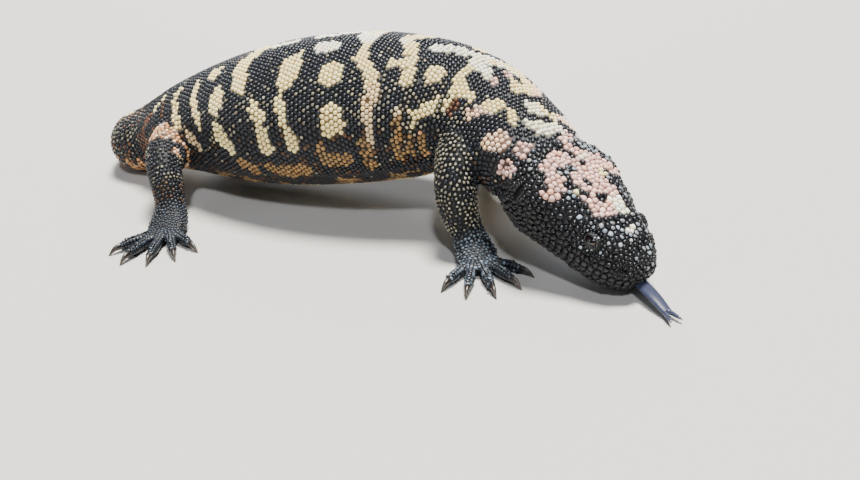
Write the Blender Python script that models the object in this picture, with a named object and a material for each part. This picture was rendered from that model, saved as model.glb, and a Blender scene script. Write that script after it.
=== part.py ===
"""A life-size gila monster standing on a floor, its head lowered and turned to its right, its tongue out.

The animal faces +X, its left side is +Y and +Z is up. The floor is z = 0, and the origin is the centre
of the model's footprint on it. Sizes and places are in millimetres until MM turns them to metres.
"""

import math

import bmesh
import bpy
import numpy as np
from mathutils import Matrix, Vector

MM = 0.001
GAP = 0.3
HALF_GAP = GAP / 2
MERGE = 0.05
FLAT_ANGLE = 1.5

# The head, along its own line from the back of the skull to the tip of the snout
HEAD_LENGTH = 64.0
OCCIPUT = (95.0, -31.0, 36.5)
HEAD_PITCH = 27.0
HEAD_YAW = 30.0
MOUTH_CORNER = 20.0
MOUTH_DROP = 1.4
MOUTH_SLOPE = 0.04
MOUTH_DIP = (30.0, 7.0, 1.2)
CORNER_RISE = (4.0, 2.2)
JAW_BACK = 9.0
JAW_BLOCK_AHEAD = 8.0
JAW_BLOCK_DEPTH = 40.0
JAW_BLOCK_REACH = 34.0
JAW_BLOCK_STEPS = 14
LIP_SETBACK = 0.5

# The eye, the ear slit and the nostril, each as its place along the head and round its side
EYE_ALONG = 44.0
EYE_ANGLE = 31.0
EYE_RADIUS = 3.4
EYE_SUNK = 2.4
LID_THICKNESS = 0.75
LID_STRETCH = 1.2
LID_SLIT = (3.3, 3.2, 2.5)
LID_SLIT_OUT = 1.0
EAR_ALONG = 10.5
EAR_ANGLE = 16.0
EAR_SIZE = (1.2, 2.6, 4.0)
NOSTRIL_ALONG = 59.0
NOSTRIL_ANGLE = 30.0
NOSTRIL_SIZE = (1.1, 1.3, 0.9)
HOLLOW_SUNK = 0.2

# The raised plates of the head: rows across its top, and one row along each lip
PLATE_PITCH = 6.1
PLATE_HEIGHT = 0.6
PLATE_ROOT = 0.9
PLATE_FOOT_SCALE = 1.06
PLATE_TOP_SCALE = 0.78
PLATE_SIDES = 6
PLATE_ROWS = 10
ROW_PITCH = 5.6
FIRST_ROW = 4.6
CLEAR_OF_EYE = 6.9
CLEAR_OF_EAR = 4.6
CLEAR_OF_NOSTRIL = 3.0
ABOVE_LIP_PLATES = 4.6
BELOW_CHEEK = -7.0
LIP_PLATES = 9
LIP_PLATE_SIZE = (1.9, 1.35)
LIP_PLATE_OFF = 1.9
LIP_ROW_INSET = (5.0, 4.5)
LIP_SEARCH = (-75.0, 75.0)
HALVINGS = 24

# The feet
TOE_RADIUS = 2.3
CLAW_LENGTH = 5.6
CLAW_RADIUS = 1.35
CLAW_TIP_HEIGHT = 0.7
FRONT_TOES = (13.5, 18.0, 20.5, 19.5, 15.0)
HIND_TOES = (13.0, 17.5, 20.5, 21.0, 16.0)
TOE_SPREAD = (46.0, 22.0, 0.0, -21.0, -44.0)
KNUCKLES_WIDE = 5.6
TOE_ROOT = 4.5
# Shares along a toe, with its half width, its height above and its depth below as shares of the radius
TOE_SHAPE = (
    (0.0, 0.9, 0.8, 0.9, 0.0),
    (0.3, 1.05, 1.05, 1.5, 0.5),
    (0.5, 0.92, 0.92, 1.4, 0.4),
    (0.72, 1.0, 1.05, 1.45, 0.3),
    (1.0, 0.72, 0.8, 1.0, -0.6),
)

# Where the tail and the neck are parted: distances from the tail's tip, and back from the skull
TAIL_TIP_CUT = 24.0
TAIL_MIDDLE_CUT = 67.0
NECK_LENGTH = 28.5

# A station is x, y, z, half width, half height above the line and half height below it. The head's
# rings are squarer than ovals.
OVAL = 2.0
HEAD_SQUARE = 2.45
TAIL = (
    (-105, 90.5, 3.6, 2.0, 2.4, 3.4),
    (-111, 87, 5.4, 4.8, 4.8, 5.7),
    (-125, 75.5, 7.8, 7.6, 7.4, 8.3),
    (-134.5, 56.5, 10.4, 10.3, 10.1, 10.9),
    (-139.5, 32.5, 12.2, 12.3, 12.0, 12.7),
    (-137.5, 12.5, 13.7, 13.6, 13.4, 14.1),
    (-129, 0.5, 15.2, 15.3, 15.0, 15.5),
)
TRUNK = (
    (-115, 1, 20.5, 18.6, 17.4, 17.6),
    (-92, -1, 28.0, 25.5, 23.0, 22.8),
    (-66, -1, 34.0, 33.0, 29.0, 30.0),
    (-38, -1, 39.0, 39.0, 33.4, 33.5),
    (-8, 0, 43.2, 41.5, 35.0, 34.0),
    (22, 1, 46.2, 39.5, 33.4, 32.0),
    (46, -1, 47.2, 34.0, 29.4, 27.6),
    (62, -6, 45.5, 29.5, 26.0, 24.5),
    (78, -16, 42.0, 25.8, 21.4, 20.5),
)
# Along the head: distance from the skull's back, half width, height above and below
HEAD = (
    (0, 23.0, 16.6, 17.2),
    (8, 24.2, 17.0, 17.8),
    (17, 24.2, 17.0, 17.8),
    (26, 22.4, 16.8, 16.8),
    (34, 20.2, 15.8, 15.8),
    (42, 18.2, 14.2, 15.0),
    (50, 16.2, 12.4, 13.8),
    (56, 13.8, 10.4, 12.2),
    (60.5, 10.6, 8.0, 9.6),
    (63, 7.0, 5.2, 6.6),
    (64, 2.0, 1.6, 2.0),
)
# Swellings and hollows of the head: along, angle up from the side, reach along, reach in angle, height
RELIEF = (
    (14, 24, 8, 24, 2.4),
    (43, 58, 7, 13, 1.4),
    (43, 28, 5, 15, -1.0),
    (53, 50, 6, 16, 0.6),
    (12, 90, 10, 20, -1.0),
    (52, 90, 7, 22, -0.4),
    (44, -6, 13, 9, 0.6),
    (1, 4, 5, 26, -1.4),
)

RELIEF_BEHIND = 12.0
SNOUT_FADE = 6.0

# Legs: stations from inside the trunk to the knuckles, and the way that each foot points
LEGS = {
    "front_right": dict(
        stations=(
            (60, -8, 45, 14.0, 15.0, 14.0),
            (60, -20, 44, 13.0, 14.5, 13.0),
            (60.5, -32.5, 38, 10.8, 11.8, 11.2),
            (61, -40, 29.5, 9.4, 10.2, 10.0),
            (63, -43, 20, 8.6, 9.0, 8.8),
            (67, -44.5, 11.5, 7.8, 6.8, 7.2),
            (71, -47.5, 5.6, 8.8, 5.0, 6.4),
            (74.3, -52.5, 4.0, 9.2, 3.7, 4.8),
            (76.4, -56, 3.2, 7.4, 2.7, 3.7),
        ),
        heading=-56.0, toes=FRONT_TOES, side=-1,
    ),
    "front_left": dict(
        stations=(
            (58, 0, 45, 14.0, 15.0, 14.0),
            (56, 14, 44, 13.0, 14.5, 13.0),
            (50, 28, 38, 10.8, 11.8, 11.2),
            (45, 37, 30, 9.6, 10.2, 10.0),
            (44, 43, 20.5, 8.8, 9.0, 8.8),
            (47, 48, 11.5, 7.8, 6.8, 7.2),
            (52.5, 53, 5.6, 8.8, 5.0, 6.4),
            (58, 57, 4.0, 9.2, 3.7, 4.8),
            (61.4, 59.8, 3.2, 7.4, 2.7, 3.7),
        ),
        heading=36.0, toes=FRONT_TOES, side=1,
    ),
    "hind_right": dict(
        stations=(
            (-88, -4, 27, 15.0, 15.5, 15.0),
            (-89, -18, 27, 13.6, 13.4, 13.6),
            (-88, -31, 26.5, 10.6, 11.0, 11.4),
            (-84, -42, 24, 8.5, 9.2, 9.6),
            (-79, -48.5, 16, 7.7, 8.2, 8.4),
            (-75.5, -53, 9, 7.2, 6.4, 7.0),
            (-72.5, -59, 5.2, 8.8, 4.9, 6.0),
            (-70, -66, 4.0, 9.2, 3.7, 4.8),
            (-68.8, -70, 3.2, 7.4, 2.7, 3.7),
        ),
        heading=-73.0, toes=HIND_TOES, side=-1,
    ),
    "hind_left": dict(
        stations=(
            (-88, 4, 27, 15.0, 15.5, 15.0),
            (-86, 18, 27, 13.6, 13.4, 13.6),
            (-83, 31, 26.5, 10.6, 11.0, 11.4),
            (-82, 42, 24, 8.5, 9.2, 9.6),
            (-85, 49.5, 16, 7.7, 8.2, 8.4),
            (-86.5, 55, 9, 7.2, 6.4, 7.0),
            (-83.5, 61, 5.2, 8.8, 4.9, 6.0),
            (-80, 67.5, 4.0, 9.2, 3.7, 4.8),
            (-78, 71.2, 3.2, 7.4, 2.7, 3.7),
        ),
        heading=62.0, toes=HIND_TOES, side=1,
    ),
}
BEND_STATION = 3
WRIST_STATION = 5

# The tongue: how far along the head it starts, how far it shows, how it turns aside and dips
TONGUE_ROOT = 52.0
TONGUE_OUT = 17.0
TONGUE_DIP = 3.4
TONGUE_HALF_WIDTH = 3.2
TONGUE_HALF_THICK = 1.1
TONGUE_HEADING = -46.0
TONGUE_BELOW_LIP = 0.2
TONGUE_BEND = (0.45, 0.35)
FORK_LENGTH = 7.0
FORK_RADIUS = 1.0
FORK_ROOT = 2.5
FORK_SPREAD = 0.22
FORK_APART = 0.95
FORK_FALL = 0.05

# Mean colour and roughness of each kind of part, by how its name starts
COLOURS = {
    "head": ((0.24, 0.13, 0.11, 1), 0.5),
    "lower_jaw": ((0.03, 0.03, 0.033, 1), 0.5),
    "neck": ((0.34, 0.20, 0.14, 1), 0.5),
    "torso": ((0.26, 0.19, 0.12, 1), 0.5),
    "tail": ((0.30, 0.20, 0.12, 1), 0.5),
    "claw": ((0.06, 0.05, 0.045, 1), 0.35),
    "eye": ((0.01, 0.008, 0.007, 1), 0.08),
    "tongue": ((0.05, 0.06, 0.11, 1), 0.3),
}
LEG_COLOUR = ((0.07, 0.06, 0.05, 1), 0.5)
SHARP_ANGLE = 40.0


class Tube:
    """A tapering form: oval rings along one smooth line through a few stations."""

    SAMPLES = 400

    def __init__(self, stations, relief=None, square_from=None):
        rows = np.array(stations, float)
        square = np.full(len(rows), OVAL)
        if square_from is not None:
            square[square_from:] = HEAD_SQUARE
        rows = np.column_stack([rows, square])
        chords = np.linalg.norm(np.diff(rows[:, :3], axis=0), axis=1)
        knots = np.concatenate([[0.0], np.cumsum(chords)])
        dense = np.linspace(0, knots[-1], self.SAMPLES)
        self.rows = self.smooth(knots, rows, dense)
        self.length = np.concatenate(
            [[0.0], np.cumsum(np.linalg.norm(np.diff(self.rows[:, :3], axis=0), axis=1))]
        )
        self.knot_length = np.interp(knots, dense, self.length)
        self.tangent = np.gradient(self.rows[:, :3], axis=0)
        self.tangent /= np.linalg.norm(self.tangent, axis=1)[:, None]
        self.relief = relief

    @staticmethod
    def smooth(knots, rows, at):
        """A cubic through the stations, with each slope the mean of its neighbours' by distance."""
        step = np.diff(knots)[:, None]
        slope = np.diff(rows, axis=0) / step
        inner = (slope[:-1] * step[1:] + slope[1:] * step[:-1]) / (step[1:] + step[:-1])
        slopes = np.concatenate([slope[:1], inner, slope[-1:]])
        i = np.clip(np.searchsorted(knots, at, "right") - 1, 0, len(knots) - 2)
        h = step[i]
        t = ((at - knots[i]) / step[i, 0])[:, None]
        return (
            (2 * t**3 - 3 * t**2 + 1) * rows[i]
            + (t**3 - 2 * t**2 + t) * h * slopes[i]
            + (-2 * t**3 + 3 * t**2) * rows[i + 1]
            + (t**3 - t**2) * h * slopes[i + 1]
        )

    def frame(self, s):
        """Sizes, tangent, left and up at the distance s along the line."""
        row = np.array([np.interp(s, self.length, column) for column in self.rows.T])
        forward = np.array([np.interp(s, self.length, column) for column in self.tangent.T])
        forward /= np.linalg.norm(forward)
        left = np.cross((0, 0, 1), forward)
        left /= np.linalg.norm(left)
        return row, forward, left, np.cross(forward, left)

    def point(self, s, angle, sunk=0.0):
        """A point of the surface, angle degrees up from the left side, and the way out there."""
        row, _, left, up = self.frame(s)
        a = math.radians(angle)
        out = math.cos(a) * left + math.sin(a) * up
        return row[:3] + out * (self.radius(row, s, a) - sunk), out

    def radius(self, row, s, a):
        """How far the surface is from the line, in the direction a (radians) up from the left."""
        height = row[4] if math.sin(a) > 0 else row[5]
        power = row[6]
        parts = abs(math.cos(a) / row[3]) ** power + abs(math.sin(a) / height) ** power
        more = self.relief(s, math.degrees(a)) if self.relief else 0.0
        return parts ** (-1 / power) + more

    def ring(self, s, count, grow=0.0):
        """Points round the tube, from its left side over its top."""
        row, _, left, up = self.frame(s)
        points = []
        for k in range(count):
            a = 2 * math.pi * k / count
            out = left * math.cos(a) + up * math.sin(a)
            points.append(row[:3] + out * (self.radius(row, s, a) + grow))
        return points

    def mesh(self, start, end, rings, count, grow=0.0, gaps=(0.0, 0.0)):
        """Vertices and faces of a closed length of the tube, flat ended and none of it below the floor.

        Each end is set back square by its gap, so that two lengths meet face to face.
        """
        places = np.linspace(start + gaps[0] * 2, end - gaps[1] * 2, rings)
        places[0], places[-1] = start, end
        loops = [self.ring(s, count, grow) for s in places]
        loops[0] = [p + self.frame(start)[1] * gaps[0] for p in loops[0]]
        loops[-1] = [p - self.frame(end)[1] * gaps[1] for p in loops[-1]]
        verts = [np.array([p[0], p[1], max(p[2], 0.0)]) for loop in loops for p in loop]
        faces = [
            (
                i * count + k,
                i * count + (k + 1) % count,
                (i + 1) * count + (k + 1) % count,
                (i + 1) * count + k,
            )
            for i in range(rings - 1)
            for k in range(count)
        ]
        last = (rings - 1) * count
        faces.append(tuple(reversed(range(count))))
        faces.append(tuple(range(last, last + count)))
        return verts, faces


def material(name):
    """A plain surface for the named part, in its mean colour."""
    colour, roughness = next((v for k, v in COLOURS.items() if name.startswith(k)), LEG_COLOUR)
    made = bpy.data.materials.new(name)
    made.use_nodes = True
    shader = made.node_tree.nodes["Principled BSDF"]
    shader.inputs["Base Color"].default_value = colour
    shader.inputs["Roughness"].default_value = roughness
    shader.inputs["Metallic"].default_value = 0.0
    return made


def solid(name, verts, faces):
    """A closed mesh object in metres, its faces pointing out."""
    mesh = bpy.data.meshes.new(name)
    mesh.from_pydata([Vector(v) * MM for v in verts], [], faces)
    work = bmesh.new()
    work.from_mesh(mesh)
    bmesh.ops.remove_doubles(work, verts=work.verts, dist=1e-6)
    bmesh.ops.dissolve_degenerate(work, dist=1e-6, edges=work.edges)
    bmesh.ops.triangulate(work, faces=work.faces)
    bmesh.ops.recalc_face_normals(work, faces=work.faces)
    work.to_mesh(mesh)
    work.free()
    made = bpy.data.objects.new(name, mesh)
    bpy.context.scene.collection.objects.link(made)
    return made


def ellipsoid(name, centre, size, axes, segments=14, rings=9):
    """An ellipsoid of three half sizes along three axes."""
    work = bmesh.new()
    bmesh.ops.create_uvsphere(work, u_segments=segments, v_segments=rings, radius=1.0)
    turn = np.array(axes, float).T
    verts = [np.array(centre) + turn @ (np.array(v.co) * np.array(size)) for v in work.verts]
    faces = [tuple(v.index for v in f.verts) for f in work.faces]
    work.free()
    return solid(name, verts, faces)


def combine(target, others, operation):
    """Applies one Boolean of the target with a collection of closed meshes, which are then removed."""
    group = bpy.data.collections.new("operands")
    for other in others:
        group.objects.link(other)
    step = target.modifiers.new("combine", "BOOLEAN")
    step.operation = operation
    step.solver = "MANIFOLD"
    step.operand_type = "COLLECTION"
    step.collection = group
    bpy.context.view_layer.update()
    graph = bpy.context.evaluated_depsgraph_get()
    result = bpy.data.meshes.new_from_object(target.evaluated_get(graph))
    target.modifiers.clear()
    old = target.data
    target.data = result
    bpy.data.meshes.remove(old)
    bpy.data.collections.remove(group)
    for other in others:
        bpy.data.objects.remove(other)
    keep_largest(target)


def keep_largest(target):
    """Drops every closed surface of a mesh but the largest."""
    work = bmesh.new()
    work.from_mesh(target.data)
    left, parts = set(work.verts), []
    while left:
        stack = [left.pop()]
        part = {stack[0]}
        while stack:
            for edge in stack.pop().link_edges:
                for vert in edge.verts:
                    if vert in left:
                        left.remove(vert)
                        part.add(vert)
                        stack.append(vert)
        parts.append(part)
    parts.sort(key=span, reverse=True)
    loose = [vert for part in parts[1:] for vert in part]
    bmesh.ops.delete(work, geom=loose, context="VERTS")
    work.to_mesh(target.data)
    work.free()


def simplify(target):
    """Merges slivers and faces that lie in one plane, then makes triangles again."""
    work = bmesh.new()
    work.from_mesh(target.data)
    bmesh.ops.remove_doubles(work, verts=work.verts, dist=MERGE * MM)
    angle = math.radians(FLAT_ANGLE)
    bmesh.ops.dissolve_limit(work, angle_limit=angle, verts=work.verts, edges=work.edges)
    bmesh.ops.triangulate(work, faces=work.faces)
    work.to_mesh(target.data)
    work.free()


def span(part):
    """The diagonal of a set of vertices' box."""
    places = np.array([vert.co for vert in part])
    return float(np.linalg.norm(places.max(0) - places.min(0)))


def head_direction():
    pitch, yaw = math.radians(HEAD_PITCH), math.radians(HEAD_YAW)
    return np.array(
        [math.cos(pitch) * math.cos(yaw), -math.cos(pitch) * math.sin(yaw), -math.sin(pitch)]
    )


def body_tube():
    """The whole body from the tail's tip to the snout, and where along it the skull's back is."""
    ahead = head_direction()
    skull = [tuple(np.array(OCCIPUT) + ahead * row[0]) + tuple(row[1:]) for row in HEAD]
    stations = TAIL + TRUNK + tuple(skull)
    plain = Tube(stations)
    skull_start = plain.knot_length[len(TAIL) + len(TRUNK)]

    def relief(s, angle):
        return head_relief(s - skull_start, angle)

    tube = Tube(stations, relief, len(TAIL) + len(TRUNK))
    return tube, skull_start


def head_relief(along, angle):
    """How far the head's swellings stand out, alike on both sides."""
    if along < -RELIEF_BEHIND:
        return 0.0
    up = angle if angle <= 180 else angle - 360
    side = 180 - up if up > 90 else (-180 - up if up < -90 else up)
    total = 0.0
    for place, turn, reach, spread, height in RELIEF:
        total += height * math.exp(-(((along - place) / reach) ** 2) - ((side - turn) / spread) ** 2)
    return total * min(1.0, max(0.0, (HEAD_LENGTH - along) / SNOUT_FADE))


def mouth_height(along):
    """The mouth line below the head's axis: straight under the snout, with a dip and a raised corner."""
    place, reach, depth = MOUTH_DIP
    dip = depth * math.exp(-(((along - place) / reach) ** 2))
    reach, height = CORNER_RISE
    rise = height * math.exp(-(((along - MOUTH_CORNER) / reach) ** 2))
    return -MOUTH_DROP - MOUTH_SLOPE * (HEAD_LENGTH - along) - dip + rise


def head_up():
    ahead = head_direction()
    left = np.cross((0, 0, 1), ahead)
    left /= np.linalg.norm(left)
    return np.cross(ahead, left)


def head_point(along, across, rise):
    """A point by its distance along the head, to the left of its axis and above it."""
    ahead = head_direction()
    left = np.cross((0, 0, 1), ahead)
    left /= np.linalg.norm(left)
    return np.array(OCCIPUT) + ahead * along + left * across + np.cross(ahead, left) * rise


def jaw_block(name, grow):
    """All that lies below the mouth's line and ahead of its corner, as a closed prism."""
    front = HEAD_LENGTH + JAW_BLOCK_AHEAD
    places = np.linspace(MOUTH_CORNER - grow, front, JAW_BLOCK_STEPS)
    outline = [(a, mouth_height(a) + grow) for a in places]
    outline += [(front, -JAW_BLOCK_DEPTH), (MOUTH_CORNER - JAW_BACK - grow, -JAW_BLOCK_DEPTH)]
    count = len(outline)
    verts = [head_point(a, side * JAW_BLOCK_REACH, b) for side in (-1, 1) for a, b in outline]
    faces = [(i, (i + 1) % count, count + (i + 1) % count, count + i) for i in range(count)]
    faces += [tuple(range(count)), tuple(range(2 * count - 1, count - 1, -1))]
    return solid(name, verts, faces)


def tongue_tube():
    """The tongue's line, out of the mouth's front and turned down to the animal's right."""
    root = head_point(TONGUE_ROOT, 0, mouth_height(TONGUE_ROOT) - TONGUE_BELOW_LIP)
    lip = head_point(HEAD_LENGTH + 1.0, 0, mouth_height(HEAD_LENGTH) - TONGUE_BELOW_LIP)
    turn = math.radians(TONGUE_HEADING)
    aside = np.array([math.cos(turn), math.sin(turn), 0.0])
    out, dip = TONGUE_BEND
    mid = lip + aside * TONGUE_OUT * out - np.array([0, 0, TONGUE_DIP * dip])
    end = lip + aside * TONGUE_OUT - np.array([0, 0, TONGUE_DIP])
    wide, thick = TONGUE_HALF_WIDTH, TONGUE_HALF_THICK
    return Tube(
        [
            (*root, wide * 0.8, thick, thick),
            (*lip, wide, thick, thick),
            (*mid, wide * 0.95, thick * 1.1, thick * 1.1),
            (*end, wide * 0.72, thick, thick),
        ]
    )


def fork_tine(name, base, direction, length):
    """One point of the tongue's fork, rooted in its end."""
    start = base - direction * FORK_ROOT
    stations = [
        (*(start + direction * t * (length + FORK_ROOT)), *(FORK_RADIUS * r,) * 3)
        for t, r in ((0, 1.0), (0.4, 0.95), (0.75, 0.7), (1, 0.3))
    ]
    tube = Tube(stations)
    return solid(name, *tube.mesh(0, tube.length[-1], 6, 6))


def make_tongue(grow=0.0, name="tongue"):
    tube = tongue_tube()
    made = solid(name, *tube.mesh(0, tube.length[-1], 7, 10, grow))
    row, ahead, left, _ = tube.frame(tube.length[-1])
    tines = []
    for side in (-1, 1):
        way = ahead + left * side * FORK_SPREAD
        way[2] = -FORK_FALL
        way /= np.linalg.norm(way)
        base = row[:3] + left * side * FORK_APART
        tines.append(fork_tine(f"tine{side}", base, way, FORK_LENGTH))
    combine(made, tines, "UNION")
    return made


def eye_places(tube, skull):
    """Centre and way out of each eye, by side name."""
    found = {}
    for side, angle in (("left", EYE_ANGLE), ("right", 180 - EYE_ANGLE)):
        centre, out = tube.point(skull + EYE_ALONG, angle, EYE_SUNK)
        found[side] = (centre, out)
    return found


def axes_at(out, ahead):
    """Three axes: along the head, out of the surface and round it."""
    out = out / np.linalg.norm(out)
    along = ahead - out * ahead.dot(out)
    along /= np.linalg.norm(along)
    return along, out, np.cross(along, out)


def surface_axes(tube, s, angle):
    """A point of the surface, its way along the tube, its outward normal and its way round."""
    place, out = tube.point(s, angle)
    along = tube.point(s + 0.5, angle)[0] - tube.point(s - 0.5, angle)[0]
    across = tube.point(s, angle + 2)[0] - tube.point(s, angle - 2)[0]
    normal = np.cross(across, along)
    normal *= np.sign(normal.dot(out)) / np.linalg.norm(normal)
    along, normal, across = axes_at(normal, along)
    return place, along, normal, across


def plate(place, along, normal, across, size):
    """A low bead-like plate with bevelled edges, rooted below the surface."""
    rings = ((-PLATE_ROOT, PLATE_FOOT_SCALE), (PLATE_HEIGHT, PLATE_TOP_SCALE))
    verts = []
    for height, scale in rings:
        for k in range(PLATE_SIDES):
            a = 2 * math.pi * (k + 0.5) / PLATE_SIDES
            offset = along * math.cos(a) * size[0] + across * math.sin(a) * size[1]
            verts.append(place + normal * height + offset * scale)
    n = PLATE_SIDES
    faces = [
        (i * n + k, i * n + (k + 1) % n, (i + 1) * n + (k + 1) % n, (i + 1) * n + k)
        for i in range(len(rings) - 1)
        for k in range(n)
    ]
    last = (len(rings) - 1) * n
    faces += [tuple(reversed(range(n))), tuple(range(last, last + n))]
    return solid("plate", verts, faces)


def top_plates(tube, skull):
    """Rows of plates over the head's top and sides, left open round the eyes, ears and nostrils."""
    holes = []
    for along, angle, clear in (
        (EYE_ALONG, EYE_ANGLE, CLEAR_OF_EYE),
        (EAR_ALONG, EAR_ANGLE, CLEAR_OF_EAR),
        (NOSTRIL_ALONG, NOSTRIL_ANGLE, CLEAR_OF_NOSTRIL),
    ):
        for turned in (angle, 180 - angle):
            holes.append((tube.point(skull + along, turned)[0], clear))
    plates = []
    for row in range(PLATE_ROWS):
        along = FIRST_ROW + row * ROW_PITCH
        low = lip_angle(tube, skull, along, ABOVE_LIP_PLATES if along > MOUTH_CORNER else BELOW_CHEEK)
        girth = arc_length(tube, skull + along, low, 180 - low)
        count = max(3, round(girth / PLATE_PITCH))
        for i in range(count + row % 2):
            share = (i + 0.5 - 0.5 * (row % 2)) / count
            angle = low + (180 - 2 * low) * share
            place, forward, normal, across = surface_axes(tube, skull + along, angle)
            if any(np.linalg.norm(place - hole) < clear for hole, clear in holes):
                continue
            half = min(PLATE_PITCH, girth / count) * 0.5
            plates.append(plate(place, forward, normal, across, (half, half)))
    return plates


def lip_angle(tube, skull, along, above):
    """The angle on the left side at which the surface is this far above the mouth's line."""
    wanted = mouth_height(along) + above
    low, high = LIP_SEARCH
    axis, up = head_point(along, 0, 0), head_up()
    for _ in range(HALVINGS):
        middle = (low + high) / 2
        rise = (tube.point(skull + along, middle)[0] - axis).dot(up)
        low, high = (middle, high) if rise < wanted else (low, middle)
    return (low + high) / 2


def arc_length(tube, s, start, end):
    points = [tube.point(s, a)[0] for a in np.linspace(start, end, 25)]
    return float(sum(np.linalg.norm(b - a) for a, b in zip(points, points[1:])))


def lip_plates(tube, skull, above):
    """A row of plates along both lips, above the mouth's line or below it."""
    plates = []
    start, end = MOUTH_CORNER + LIP_ROW_INSET[0], HEAD_LENGTH - LIP_ROW_INSET[1]
    for along in np.linspace(start, end, LIP_PLATES):
        angle = lip_angle(tube, skull, along, above)
        for turned in (angle, 180 - angle):
            place, forward, normal, across = surface_axes(tube, skull + along, turned)
            if above < 0:
                place = place - normal * LIP_SETBACK
            plates.append(plate(place, forward, normal, across, LIP_PLATE_SIZE))
    return plates


def make_head(tube, skull):
    """The upper head with its lids, sockets, nostrils and ear slits, the lower jaw and the eyes."""
    end = tube.length[-1]
    ahead = head_direction()
    head = solid("head", *tube.mesh(skull, end, 22, 26, gaps=(HALF_GAP, 0)))
    jaw = solid("lower_jaw", *tube.mesh(skull, end, 20, 24, -LIP_SETBACK, (HALF_GAP, 0)))
    combine(head, top_plates(tube, skull) + lip_plates(tube, skull, LIP_PLATE_OFF), "UNION")
    combine(jaw, lip_plates(tube, skull, -LIP_PLATE_OFF), "UNION")
    combine(jaw, [jaw_block("below mouth", 0.0)], "INTERSECT")
    combine(head, [jaw_block("below lips", GAP)], "DIFFERENCE")
    eyes = eye_places(tube, skull)
    lids = []
    for side, (centre, out) in eyes.items():
        size = EYE_RADIUS + LID_THICKNESS
        size = (size + LID_STRETCH, size, size)
        lids.append(ellipsoid(f"lid {side}", centre, size, axes_at(out, ahead)))
    combine(head, lids, "UNION")
    cuts = []
    for side, (centre, out) in eyes.items():
        ball = EYE_RADIUS + GAP
        cuts.append(ellipsoid(f"socket {side}", centre, (ball, ball, ball), axes_at(out, ahead)))
        opening = centre + out * (EYE_RADIUS + LID_SLIT_OUT)
        cuts.append(ellipsoid(f"slit {side}", opening, LID_SLIT, axes_at(out, ahead)))
    for along, angle, size in (
        (EAR_ALONG, EAR_ANGLE, EAR_SIZE),
        (NOSTRIL_ALONG, NOSTRIL_ANGLE, NOSTRIL_SIZE),
    ):
        for turned in (angle, 180 - angle):
            place, out = tube.point(skull + along, turned, HOLLOW_SUNK)
            cuts.append(ellipsoid("hollow", place, size, axes_at(out, ahead), 12, 8))
    combine(head, cuts, "DIFFERENCE")
    for part in (head, jaw):
        combine(part, [make_tongue(GAP, "tongue slot")], "DIFFERENCE")
        simplify(part)
    for side, (centre, out) in eyes.items():
        ball = (EYE_RADIUS, EYE_RADIUS, EYE_RADIUS)
        ellipsoid(f"eye_{side}", centre, ball, axes_at(out, ahead), 12, 8)


def make_body(tube, skull):
    """Neck, torso and tail, each a length of the one tube, parted by thin cuts."""
    knots = tube.knot_length
    first = len(TAIL)
    cuts = (
        ("tail_tip", 0.0, TAIL_TIP_CUT, 9, 16),
        ("tail_middle", TAIL_TIP_CUT, TAIL_MIDDLE_CUT, 9, 20),
        ("tail_base", TAIL_MIDDLE_CUT, knots[first], 10, 24),
        ("torso_pelvis", knots[first], knots[first + 2], 9, 28),
        ("torso_belly", knots[first + 2], knots[first + 5], 14, 30),
        ("torso_chest", knots[first + 5], skull - NECK_LENGTH, 11, 28),
        ("neck", skull - NECK_LENGTH, skull, 7, 28),
    )
    for name, start, end, rings, count in cuts:
        first_gap = 0.0 if name == "tail_tip" else HALF_GAP
        solid(name, *tube.mesh(start, end, rings, count, gaps=(first_gap, HALF_GAP)))


def make_leg(name, leg, tube):
    """Upper and lower leg, foot and claws. The upper leg starts on the torso's surface."""
    limb = Tube(leg["stations"])
    bend, wrist = limb.knot_length[BEND_STATION], limb.knot_length[WRIST_STATION]
    front = name.startswith("front")
    upper, lower, foot = (
        ("upper_arm", "forearm", "hand") if front else ("thigh", "shin", "foot")
    )
    end = limb.length[-1]
    root = solid(f"{upper}_{name}", *limb.mesh(0, bend, 9, 18, gaps=(0, HALF_GAP)))
    knots = tube.knot_length
    first = len(TAIL)
    reach = (knots[first + 4], knots[first + 9]) if front else (knots[first - 2], knots[first + 3])
    trunk = solid("trunk", *tube.mesh(*reach, 20, 30, GAP))
    combine(root, [trunk], "DIFFERENCE")
    solid(f"{lower}_{name}", *limb.mesh(bend, wrist, 7, 16, gaps=(HALF_GAP, HALF_GAP)))
    palm = solid(f"{foot}_{name}", *limb.mesh(wrist, end, 8, 16, gaps=(HALF_GAP, 0)))
    make_toes(palm, name, leg, limb)


def make_toes(palm, name, leg, limb):
    """Five toes joined to the palm, each with a claw ahead of it."""
    row, _, _, _ = limb.frame(limb.length[-1])
    heart = row[:3]
    turn = math.radians(leg["heading"])
    aside = np.array([-math.sin(turn), math.cos(turn), 0.0])
    toes = []
    for i, (length, spread) in enumerate(zip(leg["toes"], TOE_SPREAD)):
        turn = math.radians(leg["heading"] - leg["side"] * spread)
        way = np.array([math.cos(turn), math.sin(turn), 0.0])
        side = aside * (spread / TOE_SPREAD[0] * KNUCKLES_WIDE * -leg["side"])
        root = heart + side - way * TOE_ROOT
        reach = length + TOE_ROOT
        stations = []
        for t, wide, up, down, lift in TOE_SHAPE:
            x, y, z = root + way * reach * t
            sizes = (TOE_RADIUS * wide, TOE_RADIUS * up, TOE_RADIUS * down)
            stations.append((x, y, z + lift, *sizes))
        toe = Tube(stations)
        toes.append(solid(f"toe{i}", *toe.mesh(0, toe.length[-1], 7, 8)))
        tip, ahead, _, _ = toe.frame(toe.length[-1])
        make_claw(f"claw_{name}_{i + 1}", tip[:3] + ahead * GAP, ahead)
    combine(palm, toes, "UNION")
    simplify(palm)


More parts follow.
